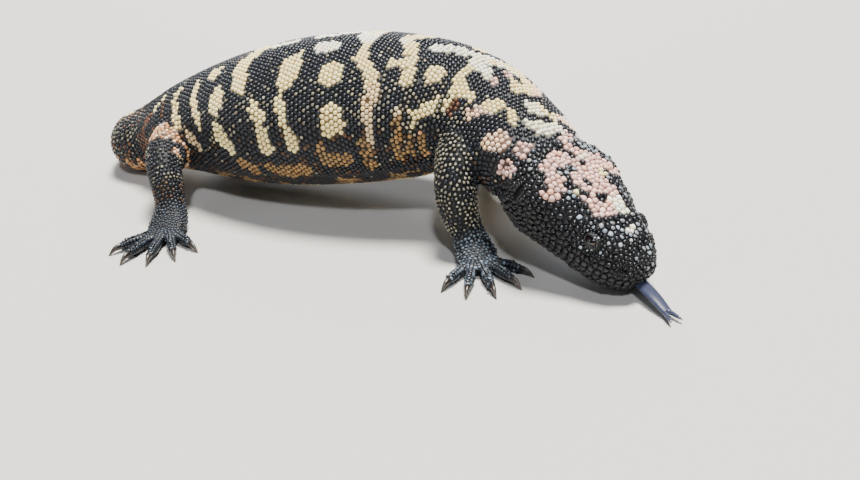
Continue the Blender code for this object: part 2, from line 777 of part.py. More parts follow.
def make_claw(name, root, ahead):
    """A short curved claw that tapers down to the floor."""
    fall = (0.0, 0.25, 0.5, 1.0)
    drop = root[2] - CLAW_TIP_HEIGHT
    stations = [
        (*(root + ahead * CLAW_LENGTH * t - np.array([0, 0, drop * f * t])), *(CLAW_RADIUS * k,) * 3)
        for t, f, k in zip((0, 0.35, 0.7, 1.0), fall, (1.0, 0.82, 0.5, 0.16))
    ]
    claw = Tube(stations)
    solid(name, *claw.mesh(0, claw.length[-1], 4, 6))


def box_centre(places):
    return (places.max(0) + places.min(0)) / 2


def place_parts():
    """Gives each part its own middle as its place, under one empty that stands on the floor.

    The empty is at the centre of the model's footprint, which becomes the origin.
    """
    parts = {o: np.array([v.co for v in o.data.vertices]) for o in bpy.context.scene.objects}
    footprint = box_centre(np.concatenate(list(parts.values()))) * (1, 1, 0)
    stand = bpy.data.objects.new("gila_monster", None)
    bpy.context.scene.collection.objects.link(stand)
    for part, places in parts.items():
        middle = box_centre(places)
        part.data.transform(Matrix.Translation(-middle))
        part.data.set_sharp_from_angle(angle=math.radians(SHARP_ANGLE))
        part.data.materials.clear()
        part.data.materials.append(material(part.name))
        part.parent = stand
        part.location = middle - footprint


def main():
    for old in list(bpy.data.objects):
        bpy.data.objects.remove(old)
    tube, skull = body_tube()
    make_body(tube, skull)
    make_head(tube, skull)
    make_tongue()
    for name, leg in LEGS.items():
        make_leg(name, leg, tube)
    place_parts()


main()
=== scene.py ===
"""Looks of a life-size gila monster: one beaded skin, its scales, eyes, lids, tongue and claws.

Sizes are in millimetres in the animal's own frame until MM turns them to metres: +X is the way the trunk
faces, +Y the animal's left side, +Z up, and the floor is z = 0. A place on the body is a distance along its
middle line from the tail's tip and an angle round it: 0 is its left side, 90 the back, 180 its right side.
"""

import math
from functools import partial

import bmesh
import bpy
import numpy as np
from mathutils import Matrix, Vector, noise
from mathutils.bvhtree import BVHTree
from mathutils.kdtree import KDTree


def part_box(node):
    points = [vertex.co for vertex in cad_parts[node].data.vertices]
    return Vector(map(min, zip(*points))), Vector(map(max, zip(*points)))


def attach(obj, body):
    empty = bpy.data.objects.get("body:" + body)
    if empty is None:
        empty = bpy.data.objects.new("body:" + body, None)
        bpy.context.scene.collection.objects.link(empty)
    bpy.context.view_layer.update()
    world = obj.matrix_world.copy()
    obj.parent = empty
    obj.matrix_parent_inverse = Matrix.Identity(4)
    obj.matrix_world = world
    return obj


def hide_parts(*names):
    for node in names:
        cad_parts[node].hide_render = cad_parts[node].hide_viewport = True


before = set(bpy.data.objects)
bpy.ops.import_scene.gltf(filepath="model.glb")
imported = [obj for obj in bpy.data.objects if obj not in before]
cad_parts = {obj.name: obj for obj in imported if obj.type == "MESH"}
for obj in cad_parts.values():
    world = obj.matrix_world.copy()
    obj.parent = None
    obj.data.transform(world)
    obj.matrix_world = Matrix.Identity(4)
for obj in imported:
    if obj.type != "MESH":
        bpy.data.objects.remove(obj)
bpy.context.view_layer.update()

MM = 0.001
SEED = 11

# The photograph's view: azimuth, elevation, roll and distance of the camera, and the point it looks at
IMAGE_WIDTH = 860
CAMERA_TURN = 23.4
CAMERA_RISE = 26.0
CAMERA_ROLL = 3.1
CAMERA_AWAY = 406.5
CAMERA_AIM = (71.5, -94.6, 31.2)
FOCAL_PIXELS = 1092.0
SENSOR = 36.0

# The head, along its own line from the back of the skull to the tip of the snout. The mouth's line has a dip
# (place, reach, depth) and a raised corner (reach, height); its groove has a depth and a half width, and
# starts before the corner, over a run and within a height. The swellings start a little behind the skull's
# back and fade at the snout.
HEAD_LENGTH = 64.0
OCCIPUT = (95.0, -31.0, 36.5)
HEAD_PITCH = 27.0
HEAD_YAW = 30.0
MOUTH_CORNER = 20.0
MOUTH_DROP = 1.4
MOUTH_SLOPE = 0.04
MOUTH_DIP = (30.0, 7.0, 1.2)
CORNER_RISE = (4.0, 2.2)
MOUTH_GROOVE = (1.5, 1.0)
CORNER_FADE = (1.5, 3.0, 12.0)
JAW_SETBACK = 0.4
SNOUT_FADE = 6.0
RELIEF_FROM = -12

# The eye, the ear slit and the nostril: place along the head, angle round its side, how deep it is set
OPENINGS = {"eye": (44.0, 31.0, 2.4), "ear": (10.5, 16.0, 0.0), "nostril": (59.0, 30.0, 0.0)}
EYE_RADIUS = 3.4
SOCKET_CLEAR = 0.35
PRESS_POWER = 1.5
LID_OPENING = (2.7, 1.6)
LID_THICK = 0.5
LID_STRETCH = 1.22
LID_EDGE = 0.12
EAR_SIZE = (1.3, 3.9)
EAR_DEEP = 2.4
NOSTRIL_SIZE = (1.15, 0.95)
NOSTRIL_DEEP = 1.9

# How square a ring is: with this power it is an ellipse, and the head's rings are squarer
OVAL = 2.0
HEAD_SQUARE = 2.45
# Stations: x, y, z, half width, half height above the line and half height below it. The head's have their
# distance along it in place of x, y and z.
TAIL = (
    (-105, 90.5, 3.6, 2.0, 2.4, 3.4),
    (-111, 87, 5.4, 4.8, 4.8, 5.7),
    (-125, 75.5, 7.8, 7.6, 7.4, 8.3),
    (-134.5, 56.5, 10.4, 10.3, 10.1, 10.9),
    (-139.5, 32.5, 12.2, 12.3, 12.0, 12.7),
    (-137.5, 12.5, 13.7, 13.6, 13.4, 14.1),
    (-129, 0.5, 15.2, 15.3, 15.0, 15.5),
)
TRUNK = (
    (-115, 1, 20.5, 18.6, 17.4, 17.6),
    (-92, -1, 28.0, 25.5, 23.0, 22.8),
    (-66, -1, 34.0, 33.0, 29.0, 30.0),
    (-38, -1, 39.0, 39.0, 33.4, 33.5),
    (-8, 0, 43.2, 41.5, 35.0, 34.0),
    (22, 1, 46.2, 39.5, 33.4, 32.0),
    (46, -1, 47.2, 34.0, 29.4, 27.6),
    (62, -6, 45.5, 29.5, 26.0, 24.5),
    (78, -16, 42.0, 25.8, 21.4, 20.5),
)
HEAD = (
    (0, 23.0, 16.6, 17.2),
    (8, 24.2, 17.0, 17.8),
    (17, 24.2, 17.0, 17.8),
    (26, 22.4, 16.8, 16.8),
    (34, 20.2, 15.8, 15.8),
    (42, 18.2, 14.2, 15.0),
    (50, 16.2, 12.4, 13.8),
    (56, 13.8, 10.4, 12.2),
    (60.5, 10.6, 8.0, 9.6),
    (63, 7.0, 5.2, 6.6),
    (64, 2.0, 1.6, 2.0),
)
# Swellings of the head: along, angle up from the side, reach along, reach in angle, height
RELIEF = (
    (14, 24, 8, 24, 2.4),
    (43, 58, 7, 13, 1.4),
    (43, 28, 5, 15, -1.0),
    (53, 50, 6, 16, 0.6),
    (12, 90, 10, 20, -1.0),
    (52, 90, 7, 22, -0.4),
    (44, -6, 13, 9, 0.6),
    (1, 4, 5, 26, -1.4),
)
# Folds of the skin: distance along the body, angle, reach along, reach in angle, depth
FOLDS = (
    (345, 186, 2.4, 30, 2.2),
    (337, 178, 2.0, 26, 1.1),
    (330, 172, 1.8, 22, 0.8),
    (345, -6, 2.4, 30, 2.2),
    (336, 4, 2.0, 26, 1.0),
    (166, 196, 2.6, 24, 1.6),
    (173, 200, 2.0, 18, 0.8),
    (166, -16, 2.6, 24, 1.6),
    (301, 148, 1.5, 16, 0.7),
    (307, 144, 1.4, 14, 0.7),
    (300, 30, 1.5, 16, 0.7),
)

LEGS = {
    "front_right": dict(
        stations=(
            (60, -8, 45, 14.0, 15.0, 14.0),
            (60, -20, 44, 13.0, 14.5, 13.0),
            (60.5, -32.5, 38, 10.8, 11.8, 11.2),
            (61, -40, 29.5, 9.4, 10.2, 10.0),
            (63, -43, 20, 8.6, 9.0, 8.8),
            (67, -44.5, 11.5, 7.8, 6.8, 7.2),
            (71, -47.5, 5.6, 8.8, 5.0, 6.4),
            (74.3, -52.5, 4.0, 9.2, 3.7, 4.8),
            (76.4, -56, 3.2, 7.4, 2.7, 3.7),
        ),
        heading=-56.0,
        side=-1,
        front=True,
    ),
    "front_left": dict(
        stations=(
            (58, 0, 45, 14.0, 15.0, 14.0),
            (56, 14, 44, 13.0, 14.5, 13.0),
            (50, 28, 38, 10.8, 11.8, 11.2),
            (45, 37, 30, 9.6, 10.2, 10.0),
            (44, 43, 20.5, 8.8, 9.0, 8.8),
            (47, 48, 11.5, 7.8, 6.8, 7.2),
            (52.5, 53, 5.6, 8.8, 5.0, 6.4),
            (58, 57, 4.0, 9.2, 3.7, 4.8),
            (61.4, 59.8, 3.2, 7.4, 2.7, 3.7),
        ),
        heading=36.0,
        side=1,
        front=True,
    ),
    "hind_right": dict(
        stations=(
            (-88, -4, 27, 15.0, 15.5, 15.0),
            (-89, -18, 27, 13.6, 13.4, 13.6),
            (-88, -31, 26.5, 10.6, 11.0, 11.4),
            (-84, -42, 24, 8.5, 9.2, 9.6),
            (-79, -48.5, 16, 7.7, 8.2, 8.4),
            (-75.5, -53, 9, 7.2, 6.4, 7.0),
            (-72.5, -59, 5.2, 8.8, 4.9, 6.0),
            (-70, -66, 4.0, 9.2, 3.7, 4.8),
            (-68.8, -70, 3.2, 7.4, 2.7, 3.7),
        ),
        heading=-73.0,
        side=-1,
        front=False,
    ),
    "hind_left": dict(
        stations=(
            (-88, 4, 27, 15.0, 15.5, 15.0),
            (-86, 18, 27, 13.6, 13.4, 13.6),
            (-83, 31, 26.5, 10.6, 11.0, 11.4),
            (-82, 42, 24, 8.5, 9.2, 9.6),
            (-85, 49.5, 16, 7.7, 8.2, 8.4),
            (-86.5, 55, 9, 7.2, 6.4, 7.0),
            (-83.5, 61, 5.2, 8.8, 4.9, 6.0),
            (-80, 67.5, 4.0, 9.2, 3.7, 4.8),
            (-78, 71.2, 3.2, 7.4, 2.7, 3.7),
        ),
        heading=62.0,
        side=1,
        front=False,
    ),
}
TOE_RADIUS = 2.3
CLAW_LENGTH = 5.6
CLAW_RADIUS = 1.35
CLAW_TIP_HEIGHT = 0.7
# A claw starts this far ahead of the toe's end, less this far inside it; its arch, tip and taper follow
CLAW_SEAT = (0.3, 0.9)
CLAW_ARCH = 0.55
CLAW_POINT = 0.16
CLAW_TAPER = 1.6
CLAW_NARROW = 0.82
CLAW_STATIONS = 9
CLAW_MESH = (16, 14)
FRONT_TOES = (13.5, 18.0, 20.5, 19.5, 15.0)
HIND_TOES = (13.0, 17.5, 20.5, 21.0, 16.0)
TOE_SPREAD = (46.0, 22.0, 0.0, -21.0, -44.0)
KNUCKLES_WIDE = 5.6
TOE_ROOT = 4.5
# Share along a toe, its half width, its height above and its depth below as shares of the radius, its lift
TOE_SHAPE = (
    (0.0, 0.9, 0.8, 0.9, 0.0),
    (0.3, 1.05, 1.05, 1.5, 0.5),
    (0.5, 0.92, 0.92, 1.4, 0.4),
    (0.72, 1.0, 1.05, 1.45, 0.3),
    (1.0, 0.72, 0.8, 1.0, -0.6),
)

# The tongue: how far along the head it starts, how far it shows, how it turns aside and dips
TONGUE_ROOT = 52.0
TONGUE_OUT = 17.0
TONGUE_DIP = 3.4
TONGUE_HALF_WIDTH = 3.2
TONGUE_HALF_THICK = 1.1
TONGUE_HEADING = -46.0
TONGUE_BELOW_LIP = 0.2
TONGUE_PAST_SNOUT = 1.0
TONGUE_BEND = (0.45, 0.35)
TONGUE_SHAPE = ((0.8, 1.0), (1.0, 1.0), (0.95, 1.1), (0.72, 1.0))
FORK_LENGTH = 7.0
FORK_RADIUS = 1.0
FORK_ROOT = 2.5
FORK_SPREAD = 0.22
FORK_APART = 0.95
FORK_FALL = 0.05
FORK_TAPER = ((0, 1.0), (0.4, 0.95), (0.75, 0.7), (1, 0.3))
TONGUE_MESH = (24, 20)
FORK_MESH = (14, 12)
TONGUE_VOXEL = 0.28
TONGUE_GROOVE = (0.3, 0.9)
TONGUE_UPPER = 0.3

# The skin lies this far inside the solids, its voxels are this large, and skin and beads stay this far above
# the floor
BODY_DEPTH = 1.1
LEG_DEPTH = 0.75
TOE_DEPTH = 0.45
VOXEL = 1.22
FUSED_SMOOTHING = 3
SKIN_FLOOR = 0.3
BEAD_FLOOR = 0.05

# Rings along a tube before its skin is fused, and points in each ring
BODY_MESH = (300, 84)
LEG_MESH = (50, 40)
TOE_MESH = (20, 16)

# The angle of the belly's middle
BELOW = 270
# Beads: rings lie this share of a pitch apart and change their count by this step. A bead is dropped where
# another is nearer than CROWDED pitches, and added where none is within SPARSE, found by cells of a size.
ROW_SHARE = 0.87
RING_STEP = 1.07
FEWEST = 5
CROWDED = 0.7
SPARSE = 0.8
SPARSE_CELL = 4
SKIN_SAMPLES = 110000
OFF_SKIN = 1.7
BEAD_GAP = 0.1
LIP_GAP = 0.27
# The lips' plates: how long each is, and how far their middles are from the mouth's line
LIP_SCALE = (3.0, 1.75)

# Crowded beads push their neighbours for some rounds, and each stands up like the mean of those beside it
RELAX_ROUNDS = 6
RELAX_NEIGHBOURS = 8
RELAX_PUSH = 0.22
UPRIGHT_NEIGHBOURS = 6


def unit(vectors):
    return vectors / np.linalg.norm(vectors, axis=-1, keepdims=True)


def ring_faces(rings, count):
    """The four-sided faces between neighbouring rings of points."""
    k = np.arange(count)
    ahead = (k + 1) % count
    faces = []
    for i in range(rings - 1):
        low, high = i * count, (i + 1) * count
        faces += np.stack([low + k, low + ahead, high + ahead, high + k], -1).tolist()
    return faces


class Tube:
    """A tapering form: oval rings along one smooth line through a few stations."""

    SAMPLES = 400
    GIRTH_POINTS = 37

    def __init__(self, stations, relief=None, square_from=None):
        rows = np.array(stations, float)
        square = np.full(len(rows), OVAL)
        if square_from is not None:
            square[square_from:] = HEAD_SQUARE
        rows = np.column_stack([rows, square])
        chords = np.linalg.norm(np.diff(rows[:, :3], axis=0), axis=1)
        knots = np.concatenate([[0.0], np.cumsum(chords)])
        dense = np.linspace(0, knots[-1], self.SAMPLES)
        self.rows = self.smooth(knots, rows, dense)
        steps = np.linalg.norm(np.diff(self.rows[:, :3], axis=0), axis=1)
        self.length = np.concatenate([[0.0], np.cumsum(steps)])
        self.end = self.length[-1]
        self.knot_length = np.interp(knots, dense, self.length)
        self.tangent = unit(np.gradient(self.rows[:, :3], axis=0))
        self.relief = relief

    @staticmethod
    def smooth(knots, rows, at):
        """A cubic through the stations, with each slope the mean of its neighbours' by distance."""
        step = np.diff(knots)[:, None]
        slope = np.diff(rows, axis=0) / step
        inner = (slope[:-1] * step[1:] + slope[1:] * step[:-1]) / (step[1:] + step[:-1])
        slopes = np.concatenate([slope[:1], inner, slope[-1:]])
        i = np.clip(np.searchsorted(knots, at, "right") - 1, 0, len(knots) - 2)
        h = step[i]
        t = ((at - knots[i]) / step[i, 0])[:, None]
        return (
            (2 * t**3 - 3 * t**2 + 1) * rows[i]
            + (t**3 - 2 * t**2 + t) * h * slopes[i]
            + (-2 * t**3 + 3 * t**2) * rows[i + 1]
            + (t**3 - t**2) * h * slopes[i + 1]
        )

    def frame(self, s):
        """Sizes, forward, left and up at the distances s along the line."""
        s = np.atleast_1d(s)
        row = np.stack([np.interp(s, self.length, column) for column in self.rows.T], -1)
        forward = unit(np.stack([np.interp(s, self.length, column) for column in self.tangent.T], -1))
        left = unit(np.cross((0.0, 0.0, 1.0), forward))
        return row, forward, left, np.cross(forward, left)

    def surface(self, s, angle, grow=0.0):
        """Points of the surface at distances and angles (degrees up from the left), and the ways out."""
        row, _, left, up = self.frame(s)
        a = np.radians(np.atleast_1d(angle))
        cos, sin = np.cos(a), np.sin(a)
        height = np.where(sin > 0, row[:, 4], row[:, 5])
        power = row[:, 6]
        parts = abs(cos / row[:, 3]) ** power + abs(sin / height) ** power
        radius = parts ** (-1 / power) + grow
        if self.relief:
            radius = radius + self.relief(np.atleast_1d(s), np.atleast_1d(angle))
        out = left * cos[:, None] + up * sin[:, None]
        return row[:, :3] + out * radius[:, None], out

    def girth(self, s):
        round_it = np.linspace(0, 360, self.GIRTH_POINTS)
        points = self.surface(np.full(len(round_it), s), round_it)[0]
        return float(np.linalg.norm(np.diff(points, axis=0), axis=1).sum())

    def mesh(self, rings, count, grow=0.0, floor=0.0):
        """Vertices and faces of the closed tube, none of it below the floor."""
        s = np.repeat(np.linspace(0, self.end, rings), count)
        angle = np.tile(np.arange(count) * 360 / count, rings)
        verts = self.surface(s, angle, grow)[0]
        verts[:, 2] = np.maximum(verts[:, 2], floor)
        faces = ring_faces(rings, count)
        faces.append(list(range(count))[::-1])
        faces.append(list(range((rings - 1) * count, rings * count)))
        return verts, faces


def signed(angle):
    """Degrees brought between -180 and 180."""
    return (angle + 180) % 360 - 180


def bump_at(along, angle, swellings):
    """The sum of smooth swellings, each with its place, reaches and height."""
    total = np.zeros(np.shape(along))
    for place, turn, reach, spread, height in swellings:
        off = signed(angle - turn)
        total = total + height * np.exp(-(((along - place) / reach) ** 2) - (off / spread) ** 2)
    return total


def head_relief(along, angle):
    """How far the head's swellings stand out, alike on both sides."""
    up = np.where(angle <= 180, angle, angle - 360)
    side = np.where(up > 90, 180 - up, np.where(up < -90, -180 - up, up))
    total = bump_at(along, side, RELIEF)
    total = total * np.clip((HEAD_LENGTH - along) / SNOUT_FADE, 0, 1)
    return np.where(along < RELIEF_FROM, 0.0, total)


def body_tube():
    """The whole body from the tail's tip to the snout, and where along it the skull's back is."""
    skull = [tuple(np.array(OCCIPUT) + AHEAD * row[0]) + tuple(row[1:]) for row in HEAD]
    stations = TAIL + TRUNK + tuple(skull)
    start = Tube(stations).knot_length[len(TAIL) + len(TRUNK)]

    def relief(s, angle):
        return head_relief(s - start, angle % 360) - bump_at(s, angle, FOLDS)

    return Tube(stations, relief, len(TAIL) + len(TRUNK)), start


def head_axes():
    pitch, yaw = math.radians(HEAD_PITCH), math.radians(HEAD_YAW)
    ahead = np.array([math.cos(pitch) * math.cos(yaw), -math.cos(pitch) * math.sin(yaw), -math.sin(pitch)])
    left = unit(np.cross((0.0, 0.0, 1.0), ahead))
    return ahead, left, np.cross(ahead, left)


AHEAD, LEFT, UPWARD = head_axes()
BODY, SKULL = body_tube()
LIMBS = {name: Tube(leg["stations"]) for name, leg in LEGS.items()}


def head_point(along, across, rise):
    return np.array(OCCIPUT) + AHEAD * along + LEFT * across + UPWARD * rise


def head_places(points):
    """How far points are along the head, to its left and above its middle line."""
    off = points - np.array(OCCIPUT)
    return off @ AHEAD, off @ LEFT, off @ UPWARD


def mouth_height(along):
    """The mouth line below the head's axis: straight under the snout, with a dip and a raised corner."""
    place, reach, depth = MOUTH_DIP
    dip = depth * np.exp(-(((along - place) / reach) ** 2))
    reach, height = CORNER_RISE
    rise = height * np.exp(-(((along - MOUTH_CORNER) / reach) ** 2))
    return -MOUTH_DROP - MOUTH_SLOPE * (HEAD_LENGTH - along) - dip + rise


def toe_tubes(name):
    """The five toes of a foot, as tubes."""
    leg = LEGS[name]
    heart = LIMBS[name].frame(LIMBS[name].end)[0][0, :3]
    turn = math.radians(leg["heading"])
    aside = np.array([-math.sin(turn), math.cos(turn), 0.0])
    toes = []
    for length, spread in zip(FRONT_TOES if leg["front"] else HIND_TOES, TOE_SPREAD):
        turn = math.radians(leg["heading"] - leg["side"] * spread)
        way = np.array([math.cos(turn), math.sin(turn), 0.0])
        side = aside * (spread / TOE_SPREAD[0] * KNUCKLES_WIDE * -leg["side"])
        root = heart + side - way * TOE_ROOT
        reach = length + TOE_ROOT
        stations = []
        for t, wide, up, down, lift in TOE_SHAPE:
            x, y, z = root + way * reach * t
            sizes = (TOE_RADIUS * wide, TOE_RADIUS * up, TOE_RADIUS * down)
            stations.append((x, y, z + lift, *sizes))
        toes.append(Tube(stations))
    return toes


TOES = {name: toe_tubes(name) for name in LEGS}


def opening_place(name):
    """How far along the head an opening is, its angle round the head and how deep it is set."""
    kind, side = name.split("_")
    along, angle, sunk = OPENINGS[kind]
    return along, angle if side == "left" else 180 - angle, sunk


def features():
    """Centre, way out, way along and way round of the eyes, ears and nostrils, by name."""
    found = {}
    for kind in OPENINGS:
        for side in ("left", "right"):
            along, angle, sunk = opening_place(f"{kind}_{side}")
            centre, out = BODY.surface(SKULL + along, angle, -sunk)
            out = out[0]
            forward = unit(AHEAD - out * AHEAD.dot(out))
            found[f"{kind}_{side}"] = (centre[0], out, forward, np.cross(forward, out))
    return found


FEATURES = features()
# The middle of the footprint in the animal's own frame, from where the right eyeball lies in both frames
FOOTPRINT = np.array(FEATURES["eye_right"][0]) - np.array(sum(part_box("eye_right"), Vector())) / 2 / MM
FOOTPRINT[2] = 0.0


def to_metres(points):
    """The frame's metres, measured from the middle of the footprint."""
    return (np.asarray(points, float) - FOOTPRINT) * MM


def to_millimetres(points):
    """The animal's own frame, from the frame's metres."""
    return np.asarray(points, float) / MM + FOOTPRINT


def linear(hex_colour):
    """A linear colour with alpha from an sRGB hex value."""
    parts = [int(hex_colour[i : i + 2], 16) / 255 for i in (1, 3, 5)]
    return (*[c / 12.92 if c <= 0.04045 else ((c + 0.055) / 1.055) ** 2.4 for c in parts], 1.0)


def add(tree, kind, sockets=(), **settings):
    """Adds a node with its settings and its sockets' values or links; a node stands for its first output."""
    made = tree.nodes.new(kind)
    for name, value in settings.items():
        setattr(made, name, value)
    for name, value in sockets.items() if isinstance(sockets, dict) else enumerate(sockets):
        if isinstance(value, bpy.types.Node):
            value = value.outputs[0]
        if isinstance(value, bpy.types.NodeSocket):
            tree.links.new(value, made.inputs[name])
        else:
            made.inputs[name].default_value = value
    return made


def new_object(name, data):
    made = bpy.data.objects.new(name, data)
    bpy.context.scene.collection.objects.link(made)
    return made


def store(mesh, name, kind, values, domain="POINT"):
    """Gives a mesh a named attribute."""
    key = {"FLOAT_VECTOR": "vector", "FLOAT_COLOR": "color"}.get(kind, "value")
    flat = np.ascontiguousarray(values, np.int32 if kind == "INT" else np.float32).ravel()
    mesh.attributes.new(name, kind, domain).data.foreach_set(key, flat)


def new_mesh(name, verts, faces):
    """A smooth object at the origin from points in millimetres."""
    mesh = bpy.data.meshes.new(name)
    mesh.from_pydata(to_metres(verts).tolist(), [], faces)
    mesh.shade_smooth()
    return new_object(name, mesh)


def turn_outward(mesh):
    """Makes every face of a closed mesh point outward."""
    work = bmesh.new()
    work.from_mesh(mesh)
    bmesh.ops.recalc_face_normals(work, faces=work.faces)
    work.to_mesh(mesh)
    work.free()


def evaluated(made):
    """The object's mesh with its modifiers applied, in place of its own."""
    graph = bpy.context.evaluated_depsgraph_get()
    result = bpy.data.meshes.new_from_object(
        made.evaluated_get(graph), preserve_all_data_layers=True, depsgraph=graph
    )
    made.modifiers.clear()
    old = made.data
    made.data = result
    bpy.data.meshes.remove(old)
    result.name = made.name
    return made


def join_tubes(name, parts):
    """One object of many closed tubes, each given as vertices and faces."""
    verts, faces, count = [], [], 0
    for points, loops in parts:
        verts.append(points)
        faces += [[i + count for i in loop] for loop in loops]
        count += len(points)
    return new_mesh(name, np.concatenate(verts), faces)


def fuse(made, voxel, smoothing):
    """Fuses overlapping tubes to one smooth skin."""
    step = made.modifiers.new("fuse", "REMESH")
    step.mode = "VOXEL"
    step.voxel_size = voxel * MM
    step.use_smooth_shade = True
    soften = made.modifiers.new("soften", "SMOOTH")
    soften.factor = 0.5
    soften.iterations = smoothing
    return evaluated(made)


def vertex_vectors(mesh, name):
    """Every vertex's co or normal."""
    flat = np.empty(len(mesh.vertices) * 3)
    mesh.vertices.foreach_get(name, flat)
    return flat.reshape(-1, 3)


def coordinates(mesh):
    """The mesh's points in millimetres of the animal's own frame."""
    return to_millimetres(vertex_vectors(mesh, "co"))


# How far along the head the finer skin starts, how far behind the skull's back it may lie, and where along
# the head it is eased
FINE_FROM = -1.0
FINE_BEHIND = 20.0
EASED_FROM = -3.0


def finer_head(mesh):
    """Halves the skin's faces on the head, where lips, ears and nostrils need them."""
    work = bmesh.new()
    work.from_mesh(mesh)
    edges = set()
    for face in work.faces:
        centre = to_millimetres(face.calc_center_median())
        if head_places(centre)[0] > FINE_FROM and centre[0] > OCCIPUT[0] - FINE_BEHIND:
            edges.update(face.edges)
    bmesh.ops.subdivide_edges(work, edges=list(edges), cuts=1, use_grid_fill=True)
    near = [v for v in work.verts if head_places(to_millimetres(v.co))[0] > EASED_FROM]
    for _ in range(2):
        bmesh.ops.smooth_vert(work, verts=near, factor=0.5, use_axis_x=True, use_axis_y=True, use_axis_z=True)
    bmesh.ops.recalc_face_normals(work, faces=work.faces)
    work.to_mesh(mesh)
    work.free()


def carve_head(mesh):
    """Presses the mouth's line, the eye sockets, the ears and the nostrils into the skin."""
    points, normals = coordinates(mesh), vertex_vectors(mesh, "normal")
    along, _, rise = head_places(points)
    off = rise - mouth_height(along)
    before, run, reach = CORNER_FADE
    open_share = np.clip((along - MOUTH_CORNER + before) / run, 0, 1) * (abs(off) < reach)
    deep, wide = MOUTH_GROOVE
    groove = deep * np.exp(-((off / wide) ** 2)) + JAW_SETBACK * np.clip(-off, 0, 1)
    points -= normals * (groove * open_share)[:, None]
    for name, (centre, out, forward, around) in FEATURES.items():
        rel = points - centre
        x, y, z = rel @ forward, rel @ around, rel @ out
        near = np.linalg.norm(rel, axis=1) < FEATURE_REACH
        if name.startswith("eye"):
            reach = EYE_RADIUS + SOCKET_CLEAR
            flat = np.hypot(x, y)
            bottom = -np.sqrt(np.clip(reach**2 - flat**2, 0, None))
            inside = near & (flat < reach) & (z > bottom)
            points[inside] += out * (bottom - z)[inside, None]
            continue
        size, deep = (EAR_SIZE, EAR_DEEP) if name.startswith("ear") else (NOSTRIL_SIZE, NOSTRIL_DEEP)
        share = (x / size[0]) ** 2 + (y / size[1]) ** 2
        press = deep * np.exp(-(share**PRESS_POWER)) * near
        points -= out * press[:, None]
    mesh.vertices.foreach_set("co", to_metres(points).ravel())
    mesh.update()


# Regions: 0 is the body, then the four legs, then their toes, five for each leg
FIRST_TOE = 5


def regions():
    """Number, tube and growth of every region's skin."""
    yield 0, BODY, -BODY_DEPTH
    for i, name in enumerate(LEGS):
        yield 1 + i, LIMBS[name], -LEG_DEPTH
    for i, name in enumerate(LEGS):
        for j, toe in enumerate(TOES[name]):
            yield FIRST_TOE + 5 * i + j, toe, -TOE_DEPTH


def make_skin():
    """The one skin under all the scales."""
    parts = []
    for region, tube, grow in regions():
        detail = LEG_MESH if region else BODY_MESH
        parts.append(tube.mesh(*(TOE_MESH if region >= FIRST_TOE else detail), grow, SKIN_FLOOR))
    made = join_tubes("skin", parts)
    turn_outward(made.data)
    fuse(made, VOXEL, FUSED_SMOOTHING)
    finer_head(made.data)
    carve_head(made.data)
    return made


# How far apart the beads' middles are: at places along the body, and at shares of a leg's length
BODY_PITCH = (
    (0, 1.8), (30, 2.05), (70, 2.2), (120, 2.25), (200, 2.35), (290, 2.3),
    (330, 2.25), (352, 2.35), (372, 2.5), (390, 2.3), (405, 2.05), (411, 1.8),
)
LEG_PITCH = ((0.0, 2.15), (0.35, 2.0), (0.6, 1.85), (0.8, 1.7), (1.0, 1.45))
TOE_PITCH = 1.55
TOE_AROUND = 6
FIRST_RING = 1.2
# Toe beads' angles are rounded to whole steps from the top, halves upward by this nudge
HALF_UP = 0.01
# Beads stray by these shares of a pitch from their rings, but stay this far from a tube's ends
HEAD_STRAY = 0.24
TRUNK_STRAY = 0.08
LEG_STRAY = 0.17
FIRST_STRAY = 1.0
LAST_STRAY = 0.1
# The head's beads also vary in size by this share, starting a little behind the skull's back
HEAD_UNEVEN = 0.13
UNEVEN_FROM = -4


def ring_places(tube, start, end, pitch, count=None):
    """Distance, angle and pitch of beads in rings, each ring half a bead on from the last."""
    places = []
    s, row = start, 0
    while s < end:
        wide = pitch(s)
        around = count
        if around is None:
            steps = round(math.log(max(tube.girth(s) / wide, FEWEST)) / math.log(RING_STEP))
            around = round(RING_STEP**steps)
        angles = (BELOW + 360 * (np.arange(around) + row % 2 / 2) / around) % 360
        places += [(s, a, wide) for a in angles]
        s += wide * (ROW_SHARE if count is None else 1.0)
        row += 1
    return np.array(places)


def pitch_table(table, length=1.0):
    at, wide = np.array(table).T
    return lambda s: float(np.interp(s / length, at, wide))


